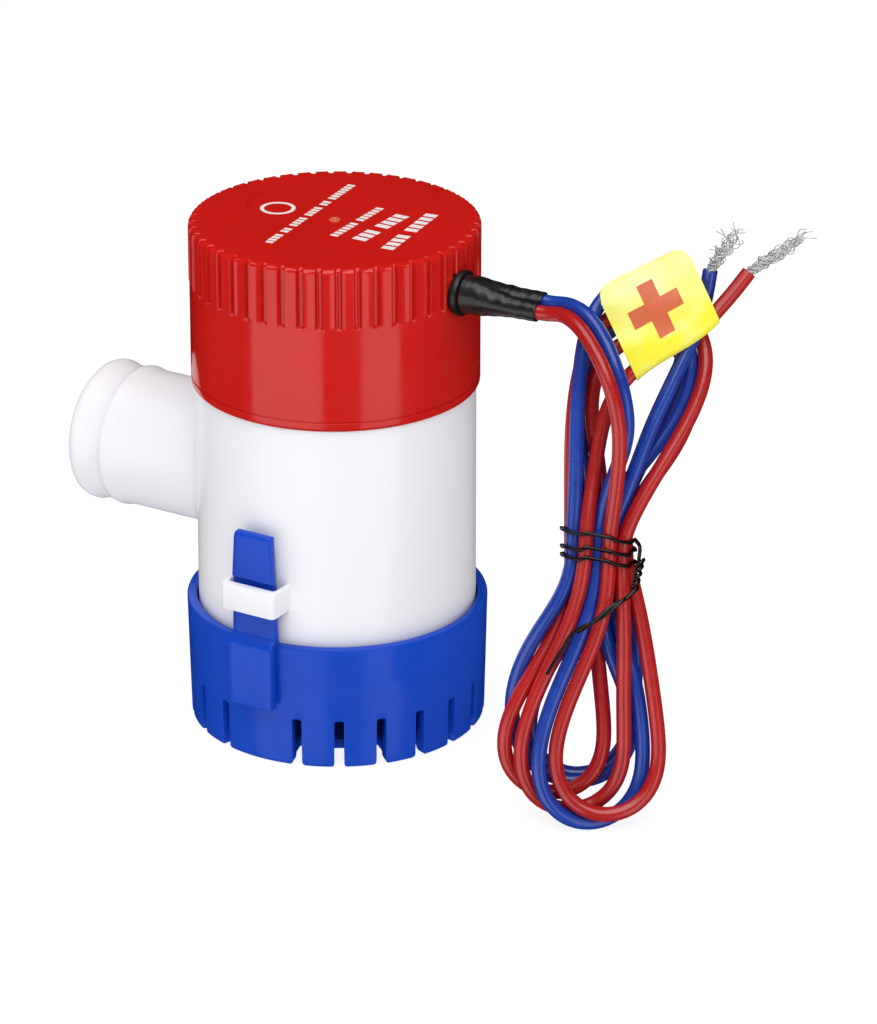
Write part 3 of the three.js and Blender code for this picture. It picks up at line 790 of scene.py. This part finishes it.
def cap_warp(r, z, angle):
    """Cuts the grooves between the ribs, down the side and out through the top edge."""
    if r < 28 * MM or z < CAP_TOP - RIB_DEPTH - 0.15 * MM:
        return r, z
    pitch = 2 * math.pi / RIB_COUNT
    off = abs((angle / pitch) % 1 - 0.5) * pitch * CAP_R
    across = 1 - smooth(off, 0.36 * MM, 0.78 * MM)
    down = smooth(z, CAP_TOP - RIB_DEPTH - 0.1 * MM, CAP_TOP - RIB_DEPTH + 0.5 * MM)
    swell = 0.14 * MM * (1 - smooth(off, 0.9 * MM, 1.4 * MM)) * smooth(off, 0.6 * MM, 0.8 * MM)
    return r - 0.95 * MM * across * down + swell * down, z


def build_cap():
    low, top = SEAM_Z / MM, CAP_TOP / MM
    foot = top - RIB_DEPTH / MM
    side = [(29.3, z) for z in (105.4, 103, 100, 97.6)]
    side += [(29.3, foot + dz) for dz in (1.2, 0.7, 0.4, 0.1, -0.1, -0.35, -0.6)] + [(29.3, 85)]
    seam = ((29.3, 2.1), (29.1, 1.95), (29.1, 1.75), (29.3, 1.6), (29.3, 0.6), (29.24, 0.25), (29.05, 0))
    lip = [(r, low + dz) for r, dz in seam]
    profile = [(0, top), (14, top), (26.6, top), (27.4, top), (28.3, top)]
    profile += [(28.3 + r, z) for r, z in arc((0, top - 1), 1, 75, 0, 5)]
    profile += side + lip + [(27.3, low), (27.3, 85), (27.3, 103.3), (25.8, 104.8), (12, 104.8), (0, 104.8)]
    cap = add_object("cap_shell", lathe("cap_shell", scaled(profile), cap_angles(), cap_warp, 40))
    hole = prism("gland_hole", arc((0, 0), 4.4 * MM, 0, 354, 59), 24 * MM, 32 * MM,
                 Matrix.Translation((0, 0, GLAND_Z)) @ Matrix.Rotation(math.pi / 2, 4, "Y"))
    combine(cap, [hole], "DIFFERENCE")
    shade(cap.data, 40)
    finish_piece(cap, "pump", "red_plastic", "motor_cap")
    add_cap_print()
    add_cap_waves()


# Rows of print on the cap's top, in millimetres: the row's two ends, its height and its word lengths.
PRINT_ROWS = (
    ((15.2, 12.9), (18.0, -9.4), 2.7, (5, 4)),
    ((10.5, 9.3), (10.4, -7.9), 3.1, (4, 3)),
    ((4.4, 10.5), (5.0, -8.5), 1.7, (6, 6)),
    ((-7.8, 19.1), (-4.0, -18.4), 1.7, (7, 2, 4, 4, 2, 4)),
)
WORD_GAP = 0.8  # in letters
INK = 0.04 * MM
WAVES = (
    ((-19.1, -14.3), (-18.0, -9.5), (-18.4, -4), (-20.6, 0.8), (-21.4, 4.6), (-21.2, 12.6)),
    ((-11.9, -21.5), (-11.9, -17), (-11.4, -13), (-9.4, -7)),
    ((-14.3, 6.1), (-13.5, 12.3), (-12.9, 16), (-12.6, 19.7)),
    ((-3.4, -23.8), (-4.6, -20.6), (-5.1, -17.4)),
    ((-3.6, -13.1), (-2.9, -10.4), (-2.7, -7.7), (-3.5, -2.7)),
)


def print_bar(centre, along, width, height):
    """A plain bar of ink on the cap's top."""
    across = Vector((-along.y, along.x))
    corners = ((-1, -1), (1, -1), (1, 1), (-1, 1))
    outline = [(centre + along * (s * width / 2) + across * (t * height / 2)) * MM for s, t in corners]
    return prism("bar", outline, CAP_TOP - INK, CAP_TOP + INK)


def add_cap_print():
    """Rows of plain bars and a ring, where the real cap is printed."""
    bars = []
    for start, end, height, words in PRINT_ROWS:
        start, end = Vector(start), Vector(end)
        pitch = (end - start).length / (sum(words) + WORD_GAP * (len(words) - 1))
        along = (end - start).normalized()
        at = 0.5
        for word in words:
            bars += [print_bar(start + along * (pitch * (at + k)), along, 0.68 * pitch, height)
                     for k in range(word)]
            at += word + WORD_GAP
    outer, inner = 3.6 * MM, 2.8 * MM
    low, high = CAP_TOP - INK, CAP_TOP + INK
    ring = lathe("ring", [(outer, low), (outer, high), (inner, high), (inner, low)], 40)
    ring.transform(Matrix.Translation((-13.2 * MM, -0.5 * MM, 0)))
    mesh = joined("cap_print", bars + [ring])
    finish_piece(add_object("cap_print", mesh), "pump", "white_plastic", ink="print")


def add_cap_waves():
    """Thin raised ridges, and the small round gate mark in the middle."""
    lines = []
    for wave in WAVES:
        line = catmull([(x, y, 0) for x, y in wave], 0.5) * MM
        line[:, 2] = CAP_TOP
        lines.append(line)
    add_curve("cap_waves", lines, 0.26 * MM, "red_plastic", 2)
    top = CAP_TOP / MM
    mark = lathe("gate_mark", scaled([(0, top + 0.12), (0.55, top + 0.12), (0.7, top + 0.3), (1.0, top + 0.3),
                                      (1.15, top + 0.1), (1.15, top - 0.1), (0, top - 0.1)]), 32)
    mark.transform(Matrix.Translation((0.3 * MM, -0.4 * MM, 0)))
    finish_piece(add_object("gate_mark", mark), "pump", "red_plastic", ink="mark")


# ---- pump housing ----
def outlet_solid():
    """The hose outlet, with a small fillet where it meets the round housing."""
    fillet, columns = 1.7, 120
    length, radius, wall = -OUTLET_END / MM, OUTLET_R / MM, HOUSING_R / MM
    turns = [2 * math.pi * j / columns for j in range(columns)]
    rows = []
    for d in (-2.5, -0.6, 0, 0.1, 0.25, 0.5, 0.85, 1.25, 1.7):
        bite = math.sqrt(max(fillet ** 2 - (fillet - d) ** 2, 0)) if d > 0 else 0
        r = radius + fillet - bite
        rows.append([(r, math.sqrt(wall ** 2 - (r * math.sin(a)) ** 2) + d) for a in turns])
    barbs = [(14.3, 11.6), (14.45, 10), (14.75, 8.8), (14.7, 8.2), (14.3, 7.6), (14.2, 6.6), (14.2, 4.4),
             (14.5, 3.2), (14.8, 2.2), (14.75, 1.4), (14.4, 0.6), (13.9, 0.15), (13.3, 0)]
    for r, along in [(14.3, 36)] + [(r, length - back) for r, back in barbs]:
        rows.append([(r, along)] * columns)
    points = [(-along * MM, r * math.sin(a) * MM, OUTLET_Z + r * math.cos(a) * MM)
              for row in rows for (r, along), a in zip(row, turns)]
    faces = ring_faces(len(rows), columns)
    faces += [tuple(range(row * columns, (row + 1) * columns)) for row in (0, len(rows) - 1)]
    return make_mesh("outlet", points, faces)


def loop_mesh(side):
    """The guide loop that a release tab's strap passes through."""
    outline = [(-6.4, 26.6)] + arc((-5.4, 33), 1, 180, 90, 4) + arc((5.4, 33), 1, 90, 0, 4) + [(6.4, 26.6)]
    outline += [(5.5, 26.6), (5.5, 31.8), (5.1, 32.2), (-5.1, 32.2), (-5.5, 31.8), (-5.5, 26.6)]
    outline = [(x * MM, y * MM) for x, y in outline]
    turn = Matrix.Rotation(0 if side > 0 else math.pi, 4, "Z")
    loop = add_object("loop", prism("loop", outline, *LOOP_Z, turn))
    softened(loop, 0.35 * MM)
    mesh = loop.data
    bpy.data.objects.remove(loop)
    return mesh


def build_housing():
    outer = [(0, 13.5), (27.9, 13.5), (28.35, 13.7), (28.5, 14.1), (28.5, 30), (28.5, 73.1), (26.9, 73.1),
             (26.9, 80.5), (0, 80.5)]
    housing = add_object("housing_shell", lathe("housing_shell", scaled(outer), 144))
    combine(housing, [outlet_solid(), loop_mesh(1), loop_mesh(-1)], "UNION")
    inside = [(0, 15.7), (26.3, 15.7), (26.3, 70.4), (24.9, 72.4), (24.9, 82), (0, 82)]
    eye = prism("eye", arc((0, 0), EYE_R, 0, 354, 59), 13 * MM, 16 * MM)
    length = -OUTLET_END
    mouth = OUTLET_BORE + 0.7 * MM
    bore = lathe("bore", [(0, 20 * MM), (OUTLET_BORE, 20 * MM), (OUTLET_BORE, length - 0.6 * MM),
                          (mouth, length + 0.1 * MM), (mouth, length + 2 * MM), (0, length + 2 * MM)], 96)
    bore.transform(Matrix.Translation((0, 0, OUTLET_Z)) @ Matrix.Rotation(-math.pi / 2, 4, "Y"))
    combine(housing, [lathe("inside", scaled(inside), 144), eye, bore], "DIFFERENCE")
    shade(merged(housing).data, 30)
    finish_piece(housing, "pump", "white_plastic", "pump_housing")


# ---- strainer and release tabs ----
def slot_cutters():
    """One cutter for each slot, flared and rounded where it meets the strainer's foot."""
    outline = [(-2.1, -1), (-1.75, 0), (-1.3, 0.35), (-1.05, 0.8), (-1, 1.3), (-1, 10.3), (-0.7, 10.6)]
    outline = outline + [(-x, z) for x, z in reversed(outline)]
    outline = [(x * MM, z * MM) for x, z in outline]
    upright = Matrix.Rotation(math.pi / 2, 4, "X")
    cutters = []
    for i in range(SLOT_COUNT):
        if i % (SLOT_COUNT // 2) == 0:
            continue  # the slots under the tabs stay closed
        turn = Matrix.Rotation(2 * math.pi * i / SLOT_COUNT, 4, "Z")
        cutters.append(prism("slot", outline, 24.5 * MM, 34 * MM, turn @ upright))
    return cutters


def build_strainer():
    profile = [(0, 1.8), (27.3, 1.8), (27.9, 0), (29.3, 0), (29.8, 0.15), (30.2, 0.5), (30.3, 0.9),
               (30.6, 13), (30.9, 26), (30.75, 26.4), (30.4, 26.5), (29.1, 26.5), (28.9, 26.3),
               (28.9, 13), (26.4, 13), (26.4, 11.6), (27.9, 11.2), (27.9, 3.8), (0, 3.8)]
    ring = add_object("strainer_ring", lathe("strainer_ring", scaled(profile), 144))
    pad = [prism("pad", arc((0, 0), 6 * MM, 0, 350, 35), 0, 1.9 * MM)]
    turns = [2 * math.pi * i / 3 for i in range(3)]
    places = [(18 * MM * math.cos(t), 18 * MM * math.sin(t)) for t in turns]
    bosses = [prism("boss", arc(at, 4.5 * MM, 0, 350, 35), 0, 5 * MM) for at in places]
    holes = [prism("hole", arc(at, 2.2 * MM, 0, 350, 35), -MM, 6 * MM) for at in places]
    combine(ring, pad + bosses, "UNION")
    combine(ring, holes + slot_cutters(), "DIFFERENCE")
    merged(ring)
    softened(ring, 0.18 * MM, 2, 50)
    shade(ring.data, 40)
    finish_piece(ring, "strainer", "blue_plastic", "strainer_base")


def build_tab(name, body, node, turn):
    """A release tab: a pad on the strainer's side, a shoulder, and a strap that the loop holds."""
    profile = [(31.15, 13), (33.5, 13), (33.5, 26.2), (33.2, 26.8), (31.5, 28.1), (31.4, 28.7),
               (31.4, 39.9), (32.0, 40.35), (31.95, 49.2), (31.7, 49.9), (31.2, 50.2), (29.9, 50.2),
               (29.9, 27.2), (31.5, 26.5)]
    columns = 9
    half = 5.15
    points = []
    for k in range(columns):
        across = 2 * k / (columns - 1) - 1
        for away, z in profile:
            narrow = max(z - 34, 0) * math.tan(rad(3.2))
            points.append((across * (half - narrow) * MM, -away * MM, z * MM))
    count = len(profile)
    faces = [tuple(range(count)), tuple(range((columns - 1) * count, columns * count))]
    faces += ring_faces(columns, count)
    side = Matrix.Rotation(turn, 3, "Z")
    tab = add_object(name, make_mesh(name, [side @ Vector(p) for p in points], faces))
    softened(tab, 0.3 * MM, 3, 35)
    shade(tab.data, 40)
    finish_piece(tab, body, "blue_plastic", node)


# ---- grommet and sleeve ----
def build_grommet():
    profile = [(3.4, 24.4), (5.4, 24.4), (5.4, 26.4), (4.1, 26.4), (4.1, 29.5), (4.3, 29.6), (4.6, 29.65),
               (4.7, 29.9), (4.7, 30.4), (4.45, 30.8), (3.4, 30.8)]
    mesh = lathe("grommet", scaled(profile), 64)
    mesh.transform(Matrix.Translation((0, 0, GLAND_Z)) @ Matrix.Rotation(math.pi / 2, 4, "Y"))
    finish_piece(add_object("grommet", mesh), "pump", "rubber", "cable_grommet")


def sleeve_radius(t, angle):
    """The sleeve's outer radius, in millimetres, at t along it and at an angle round its own section."""
    end = 1.95
    c, s = abs(math.cos(angle)), abs(math.sin(angle))
    offset = WIRE_OFFSET / MM
    pair = offset * c + math.sqrt(max(end ** 2 - (offset * s) ** 2, 0)) if offset * s < end else end
    flat = end / s if s > 1e-6 and end * c / s < offset else pair
    squeezed = 0.45 * pair + 0.55 * flat
    w = smooth(t, 0.12, 0.72)
    r = (1 - w) * (3.95 - 0.1 * t) + w * squeezed
    ridge = 0.10 * math.sin(3 * angle + 0.8 + 1.5 * t) + 0.05 * math.sin(7 * angle + 2 - 3 * t)
    crease = 0.04 * math.sin(34 * t + 1.3 * math.sin(angle) + 3 * t * t) * smooth(t, 0.05, 0.2)
    fold = 0.22 * math.exp(-((t - 0.55) / 0.05) ** 2) * max(math.sin(angle + 0.4), 0)
    return r + (ridge * math.sin(math.pi * t) + crease + fold) * (1 - smooth(t, 0.9, 1))


def build_sleeve():
    rows, columns = 64, 72
    wall = 0.42
    along = Vector((math.cos(SLEEVE_SWING), math.sin(SLEEVE_SWING), 0))
    side = Vector((-math.sin(SLEEVE_SWING), math.cos(SLEEVE_SWING), 0))
    across = side * math.cos(WIRE_TILT) + Vector((0, 0, 1)) * math.sin(WIRE_TILT)
    up = Vector((0, 0, 1)) * math.cos(WIRE_TILT) - side * math.sin(WIRE_TILT)
    origin = Vector((SLEEVE_START, 0, GLAND_Z))
    start, end = -0.5, SLEEVE_LENGTH / MM
    levels = [(i / (rows - 1), 0) for i in range(rows)]
    levels += [(1, wall / 2)] + [(i / (rows - 1), wall) for i in reversed(range(rows))]
    points = []
    for t, inward in levels:
        lip = 0.15 if inward == wall / 2 else 0
        place = origin + along * ((start + (end - start) * t + lip) * MM)
        for j in range(columns):
            angle = 2 * math.pi * j / columns
            r = (sleeve_radius(t, angle) - inward) * MM
            points.append(place + across * (r * math.cos(angle)) + up * (r * math.sin(angle)))
    faces = ring_faces(len(levels), columns, loop_rows=True)
    sleeve = add_object("sleeve", make_mesh("sleeve", points, faces, 60))
    finish_piece(sleeve, "pump", "heat_shrink", "heat_shrink_sleeve")


# ---- what is on the wires ----
def crossings(lines, v0, slope):
    """Where the wires cross a plane v = v0 + slope * (u - middle), as (u, n)."""
    found = []
    for line in lines:
        height = line[:, 1] - v0 - slope * (line[:, 0] - TIE_MIDDLE[0])
        for i in np.nonzero(height[:-1] * height[1:] < 0)[0]:
            t = height[i] / (height[i] - height[i + 1])
            found.append(line[i, [0, 2]] * (1 - t) + line[i + 1, [0, 2]] * t)
    return np.array(found)


def tie_wrap(lines, steps=60):
    """Three turns of the twist tie, drawn tight round the bundle like a band."""
    gap = (WIRE_R + TIE_R) / MM + 0.1
    slope = -0.2
    path = []
    for i in range(3 * steps + 1):
        turn = i / steps
        v0 = float(np.interp(turn, (0, 0.5, 1, 1.5, 2, 2.5, 3), (59.3, 58.9, 57.4, 55.4, 54.9, 53.7, 53.6)))
        spots = crossings(lines, v0, slope)
        angle = 2 * math.pi * turn - 0.25
        direction = np.array([math.cos(angle), math.sin(angle)])
        spot = spots[np.argmax(spots @ direction)] + direction * gap
        wave = 0.25 * math.sin(5 * angle) * (1 if direction[1] > 0 else 0)
        path.append((spot[0], v0 + slope * (spot[0] - TIE_MIDDLE[0]) + wave, spot[1]))
    return path


def axes_along(start, end):
    """The direction from start to end, and two directions square to it."""
    d = (end - start) / np.linalg.norm(end - start)
    a = np.cross(d, (0, 0, 1))
    a /= np.linalg.norm(a)
    return d, a, np.cross(d, a)


def twisted(start, end, turns, radius, phase):
    """One of two wires twisted together from start to end."""
    start, end = np.array(start, float), np.array(end, float)
    _, a, b = axes_along(start, end)
    points = []
    steps = int(12 * turns)
    for i in range(steps + 1):
        t = i / steps
        angle = 2 * math.pi * turns * t + phase
        points.append(start + (end - start) * t + radius * (math.cos(angle) * a + math.sin(angle) * b))
    return points


def build_tie(lines):
    """The twist tie: its turns, a twisted knot at the right, and two loose ends."""
    wrap = tie_wrap(lines)
    knot_top, knot_low = (11.9, 54.4, 1.6), (10.4, 48.4, 3.4)
    first = twisted(knot_top, knot_low, 2.2, 0.5, 0)
    second = twisted(knot_top, knot_low, 2.2, 0.5, math.pi)
    long_tail = [(7.6, 46.2, 5.2), (3.4, 43.0, 5.6), (-1.7, 40.3, 4.9), (-4.2, 36.4, 4.2), (-6.9, 31.9, 3.6)]
    short_tail = [(8.6, 46.8, 4.6), (5.6, 45.4, 5.8), (1.9, 42.2, 6.3), (-1.1, 40.4, 6.0)]
    start = catmull([wrap[0]] + [(11.6, 56.6, 2.0)] + first + long_tail, 0.5)
    end = catmull([wrap[-1]] + second + short_tail, 0.5)
    rows = [to_row(catmull(wrap, 0.5)), to_row(start), to_row(end)]
    return add_curve("twist_tie_wire", rows, TIE_R, "tie_wire", 3)


# Each wire's bare end: where its short and long strands reach in the hank's frame, and how they fray.
STRANDS = (
    ("blue", ((28.7, 116.2, 0.8), (31.4, 119.6, 1.3)), 0.7, 1.5, 1.0),
    ("red", ((38.5, 114.6, 0.8), (45.4, 118.4, 1.4)), 0.35, 0.4, 0.5),
)


def strand_lines(rng, start, end, count, spread, curl, stray):
    """A twisted bundle of fine wires that frays towards its end."""
    start, end = np.array(start, float), np.array(end, float)
    d, a, b = axes_along(start, end)
    length = float(np.linalg.norm(end - start))
    lines = []
    for k in range(count):
        ring = 0.25 + 0.55 * (k % 3) / 2
        phase = 2 * math.pi * k / count
        twist = rng.uniform(1.2, 2.2)
        reach = rng.uniform(0.72, 1.06)
        lean = rng.uniform(-1, 1)
        loose = rng.uniform(0.3, 1)
        hook = rng.uniform(-1, 1)
        points = [start - d * 1.5 + ring * 0.8 * (math.cos(phase) * a + math.sin(phase) * b)]
        for i in range(15):
            t = i / 14
            angle = phase + 2 * math.pi * twist * t
            out = ring * (1 + 0.5 * math.sin(math.pi * t)) + spread * loose * t ** 2
            wobble = np.array([rng.gauss(0, 1) for _ in range(3)]) * 0.05 * (0.3 + t)
            bend = a * (lean * stray * t ** 2 + hook * curl * max(t - 0.6, 0) ** 2 * 6)
            back = -d * curl * abs(hook) * max(t - 0.75, 0) ** 2 * 18
            points.append(start + d * length * reach * t + out * (math.cos(angle) * a + math.sin(angle) * b)
                          + wobble + bend + back)
        lines.append(to_row(catmull(points, 0.45)))
    return lines


def build_strands(lines):
    rng = random.Random(11)
    pieces = {}
    for name, (near, far), spread, curl, stray in STRANDS:
        root = lines[name][-1]
        fine = strand_lines(rng, root, far, 20, spread, curl, stray)
        short = strand_lines(rng, root, near, 7, 0.9 * spread, curl, stray * 1.3)
        pieces[name] = add_curve(f"bare_strands_{name}", fine + short, STRAND_R, "tinned_copper", 2)
    return pieces


# The tag in the hank's frame, in millimetres: its corners, named round it from the free edge's left end.
TAG_CORNERS = ((2.8, 107.7), (20.7, 116.2), (27.8, 100.2), (11.0, 90.0))
TAG_THICK = 0.22
TAG_TALL = 17.5
TAG_WIDE = 18.9
TAG_ROWS, TAG_COLUMNS = 81, 33


def tag_section(centre, n):
    """The folded sheet's line across the fold, as (distance up from the fold, n), front edge first.

    The front panel, the turn round the red wire, and the back panel that is stuck to the front one.
    centre and n are the wire's own place in that section.
    """
    r = WIRE_R / MM + 0.3
    front = [(1.0, n + 0.5), (0.8, n + 0.55), (0.6, n + 0.75), (0.45, n + 1.2)]
    top = TAG_TALL
    line = [(centre + (top - centre) * f, z) for f, z in front]
    line += [(centre + 3.2, n + r - 0.15), (centre + 1.2, n + r + 0.05)]
    line += arc((centre, n), r, 90, 270, 8)
    line += [(centre + 1.6, n - r + 0.1), (centre + 3.4, n - r + 0.75), (centre + 5.2, n - 0.1)]
    line += [(centre + (top - centre) * f, z - 0.32) for f, z in reversed(front)]
    return line


def tag_point(along, up, n):
    """A point on the tag: along the fold from 0 to 1, and up from it in millimetres."""
    a, b, c, d = (Vector(p) for p in TAG_CORNERS)
    spot = d.lerp(c, along).lerp(a.lerp(b, along), up / TAG_TALL)
    return spot.x, spot.y, n


def wire_in_tag(line):
    """The red wire's place in the tag's section at each step along the fold, as (up, n)."""
    a, b, c, d = (np.array(p) for p in TAG_CORNERS)
    fold = (c - d) / np.linalg.norm(c - d)
    up = np.array((-fold[1], fold[0]))
    tail = line[-60:]
    along = (tail[:, :2] - d) @ fold / np.linalg.norm(c - d)
    height = (tail[:, :2] - d) @ up
    order = np.argsort(along)
    steps = np.linspace(0, 1, TAG_COLUMNS)
    heights = np.interp(steps, along[order], height[order])
    return list(zip(heights, np.interp(steps, along[order], tail[order, 2])))


def tag_grid(line):
    """Rows across the fold and columns along it, with round corners at the free edge and slight buckles."""
    grid = []
    for j, (centre, wire_n) in enumerate(wire_in_tag(line)):
        section = resampled(catmull([(s, n, 0) for s, n in tag_section(centre, wire_n)], 0.5), TAG_ROWS - 1)
        along = j / (TAG_COLUMNS - 1)
        edge = min(along, 1 - along) * TAG_WIDE
        corner = 3.2
        trim = corner - math.sqrt(max(corner ** 2 - max(corner - edge, 0) ** 2, 0))
        column = []
        for i, (up, n, _) in enumerate(section):
            u, v, depth = tag_point(along, min(up, TAG_TALL - trim), n)
            buckle = 0.3 * math.sin(5.2 * along + 0.5 * up) * smooth(up, 4.5, 9)
            crease = 0.3 * math.sin(7.2 * along + 0.6) * math.exp(-((up - centre - 3.4) / 1.3) ** 2)
            column.append((u, v, depth + buckle + (crease if i < TAG_ROWS / 2 else 0)))
        grid.append(column)
    return np.array(grid).transpose(1, 0, 2)


def build_tag(line):
    """The folded vinyl tag on the red wire, as one closed thin sheet, and the mark printed on it."""
    grid = tag_grid(line)
    rows, columns = grid.shape[:2]
    across = np.gradient(grid, axis=0)
    along = np.gradient(grid, axis=1)
    normal = np.cross(across, along)
    normal /= np.maximum(np.linalg.norm(normal, axis=2), 1e-9)[:, :, None]
    front, back = grid + normal * TAG_THICK / 2, grid - normal * TAG_THICK / 2
    section = np.vstack([front, back[::-1]])  # round the sheet: along its front and back along its back
    points = to_row(section.transpose(1, 0, 2).reshape(-1, 3))
    loop = 2 * rows
    faces = ring_faces(columns, loop)
    for edge in (0, (columns - 1) * loop):
        faces += [(edge + i, edge + i + 1, edge + loop - 2 - i, edge + loop - 1 - i) for i in range(rows - 1)]
    tag = add_object("tag_sheet", make_mesh("tag_sheet", points, faces, 50))
    finish_piece(tag, "pump", "tag_vinyl")
    return tag, add_tag_mark(grid)


def add_tag_mark(grid):
    """A plain orange plus sign on the tag's front, laid on its surface."""
    arm, half = 5.2, 1.65
    middle_along, middle_up = 0.47, 9.3
    steps = 4
    front = grid[: len(grid) // 2].reshape(-1, 3)
    stops = [np.linspace(a, b, steps + 1) for a, b in ((-arm, -half), (-half, half), (half, arm))]
    marks = np.concatenate([stops[0], stops[1][1:], stops[2][1:]])
    shell = bmesh.new()
    layers = ({}, {})

    def corner(layer, i, j):
        """The layer's vertex at a crossing of the mark's own grid, made when first asked for."""
        if (i, j) not in layers[layer]:
            along = middle_along + marks[i] / TAG_WIDE
            u, v, _ = tag_point(along, middle_up + marks[j], 0)
            near = np.argsort((front[:, 0] - u) ** 2 + (front[:, 1] - v) ** 2)[:6]
            n = float(front[near, 2].mean()) + TAG_THICK / 2 + (-0.05, 0.09)[layer]
            layers[layer][i, j] = shell.verts.new(to_row(np.array([[u, v, n]]))[0])
        return layers[layer][i, j]

    for layer in (0, 1):
        for i in range(3 * steps):
            for j in range(3 * steps):
                if i // steps == 1 or j // steps == 1:
                    around = ((i, j), (i + 1, j), (i + 1, j + 1), (i, j + 1))
                    shell.faces.new([corner(layer, *place) for place in around])
    places = {vertex: place for place, vertex in layers[0].items()}
    for edge in [e for e in shell.edges if len(e.link_faces) == 1 and e.verts[0] in places]:
        a, b = edge.verts
        shell.faces.new((a, b, layers[1][places[b]], layers[1][places[a]]))
    bmesh.ops.recalc_face_normals(shell, faces=shell.faces)
    mesh = bpy.data.meshes.new("tag_mark")
    shell.to_mesh(mesh)
    shell.free()
    shade(mesh, 40)
    return finish_piece(add_object("tag_mark", mesh), "pump", "tag_vinyl", ink="mark")


# ---- putting it together ----
def paint_inner_parts():
    """Gives the CAD parts that stay the finer materials, by the slots' own names."""
    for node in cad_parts.values():
        for place in node.material_slots:
            place.material = MATERIALS[place.material.name.split(".")[0]]


def build_wires():
    routes = wire_routes()
    tie = build_tie(list(routes.values()))
    strands = build_strands(routes)
    tag, mark = build_tag(routes["red"])
    parts = {
        "red": ("lead_red", "wire_hank", "tail_red"),
        "blue": ("lead_blue", "tail_blue"),
    }
    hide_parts("twist_tie")
    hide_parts("strands_red")
    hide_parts("strands_blue")
    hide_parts("wire_tag")
    for name, route in routes.items():
        line = to_row(route)
        wire = add_curve(f"wire_{name}", [line], WIRE_R, f"{name}_wire", 6)
        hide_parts(*parts[name])
        print("wire", name, "length", round(length_of(line), 4))


MATERIALS = make_materials()
paint_inner_parts()
add_camera()
add_studio()
bpy.context.scene.view_settings.view_transform = "Standard"

build_wires()
build_cap()
build_housing()
build_strainer()
build_tab("tab_strap_front", "tab_front", "release_tab_front", 0)
build_tab("tab_strap_back", "tab_back", "release_tab_back", math.pi)
build_grommet()
build_sleeve()
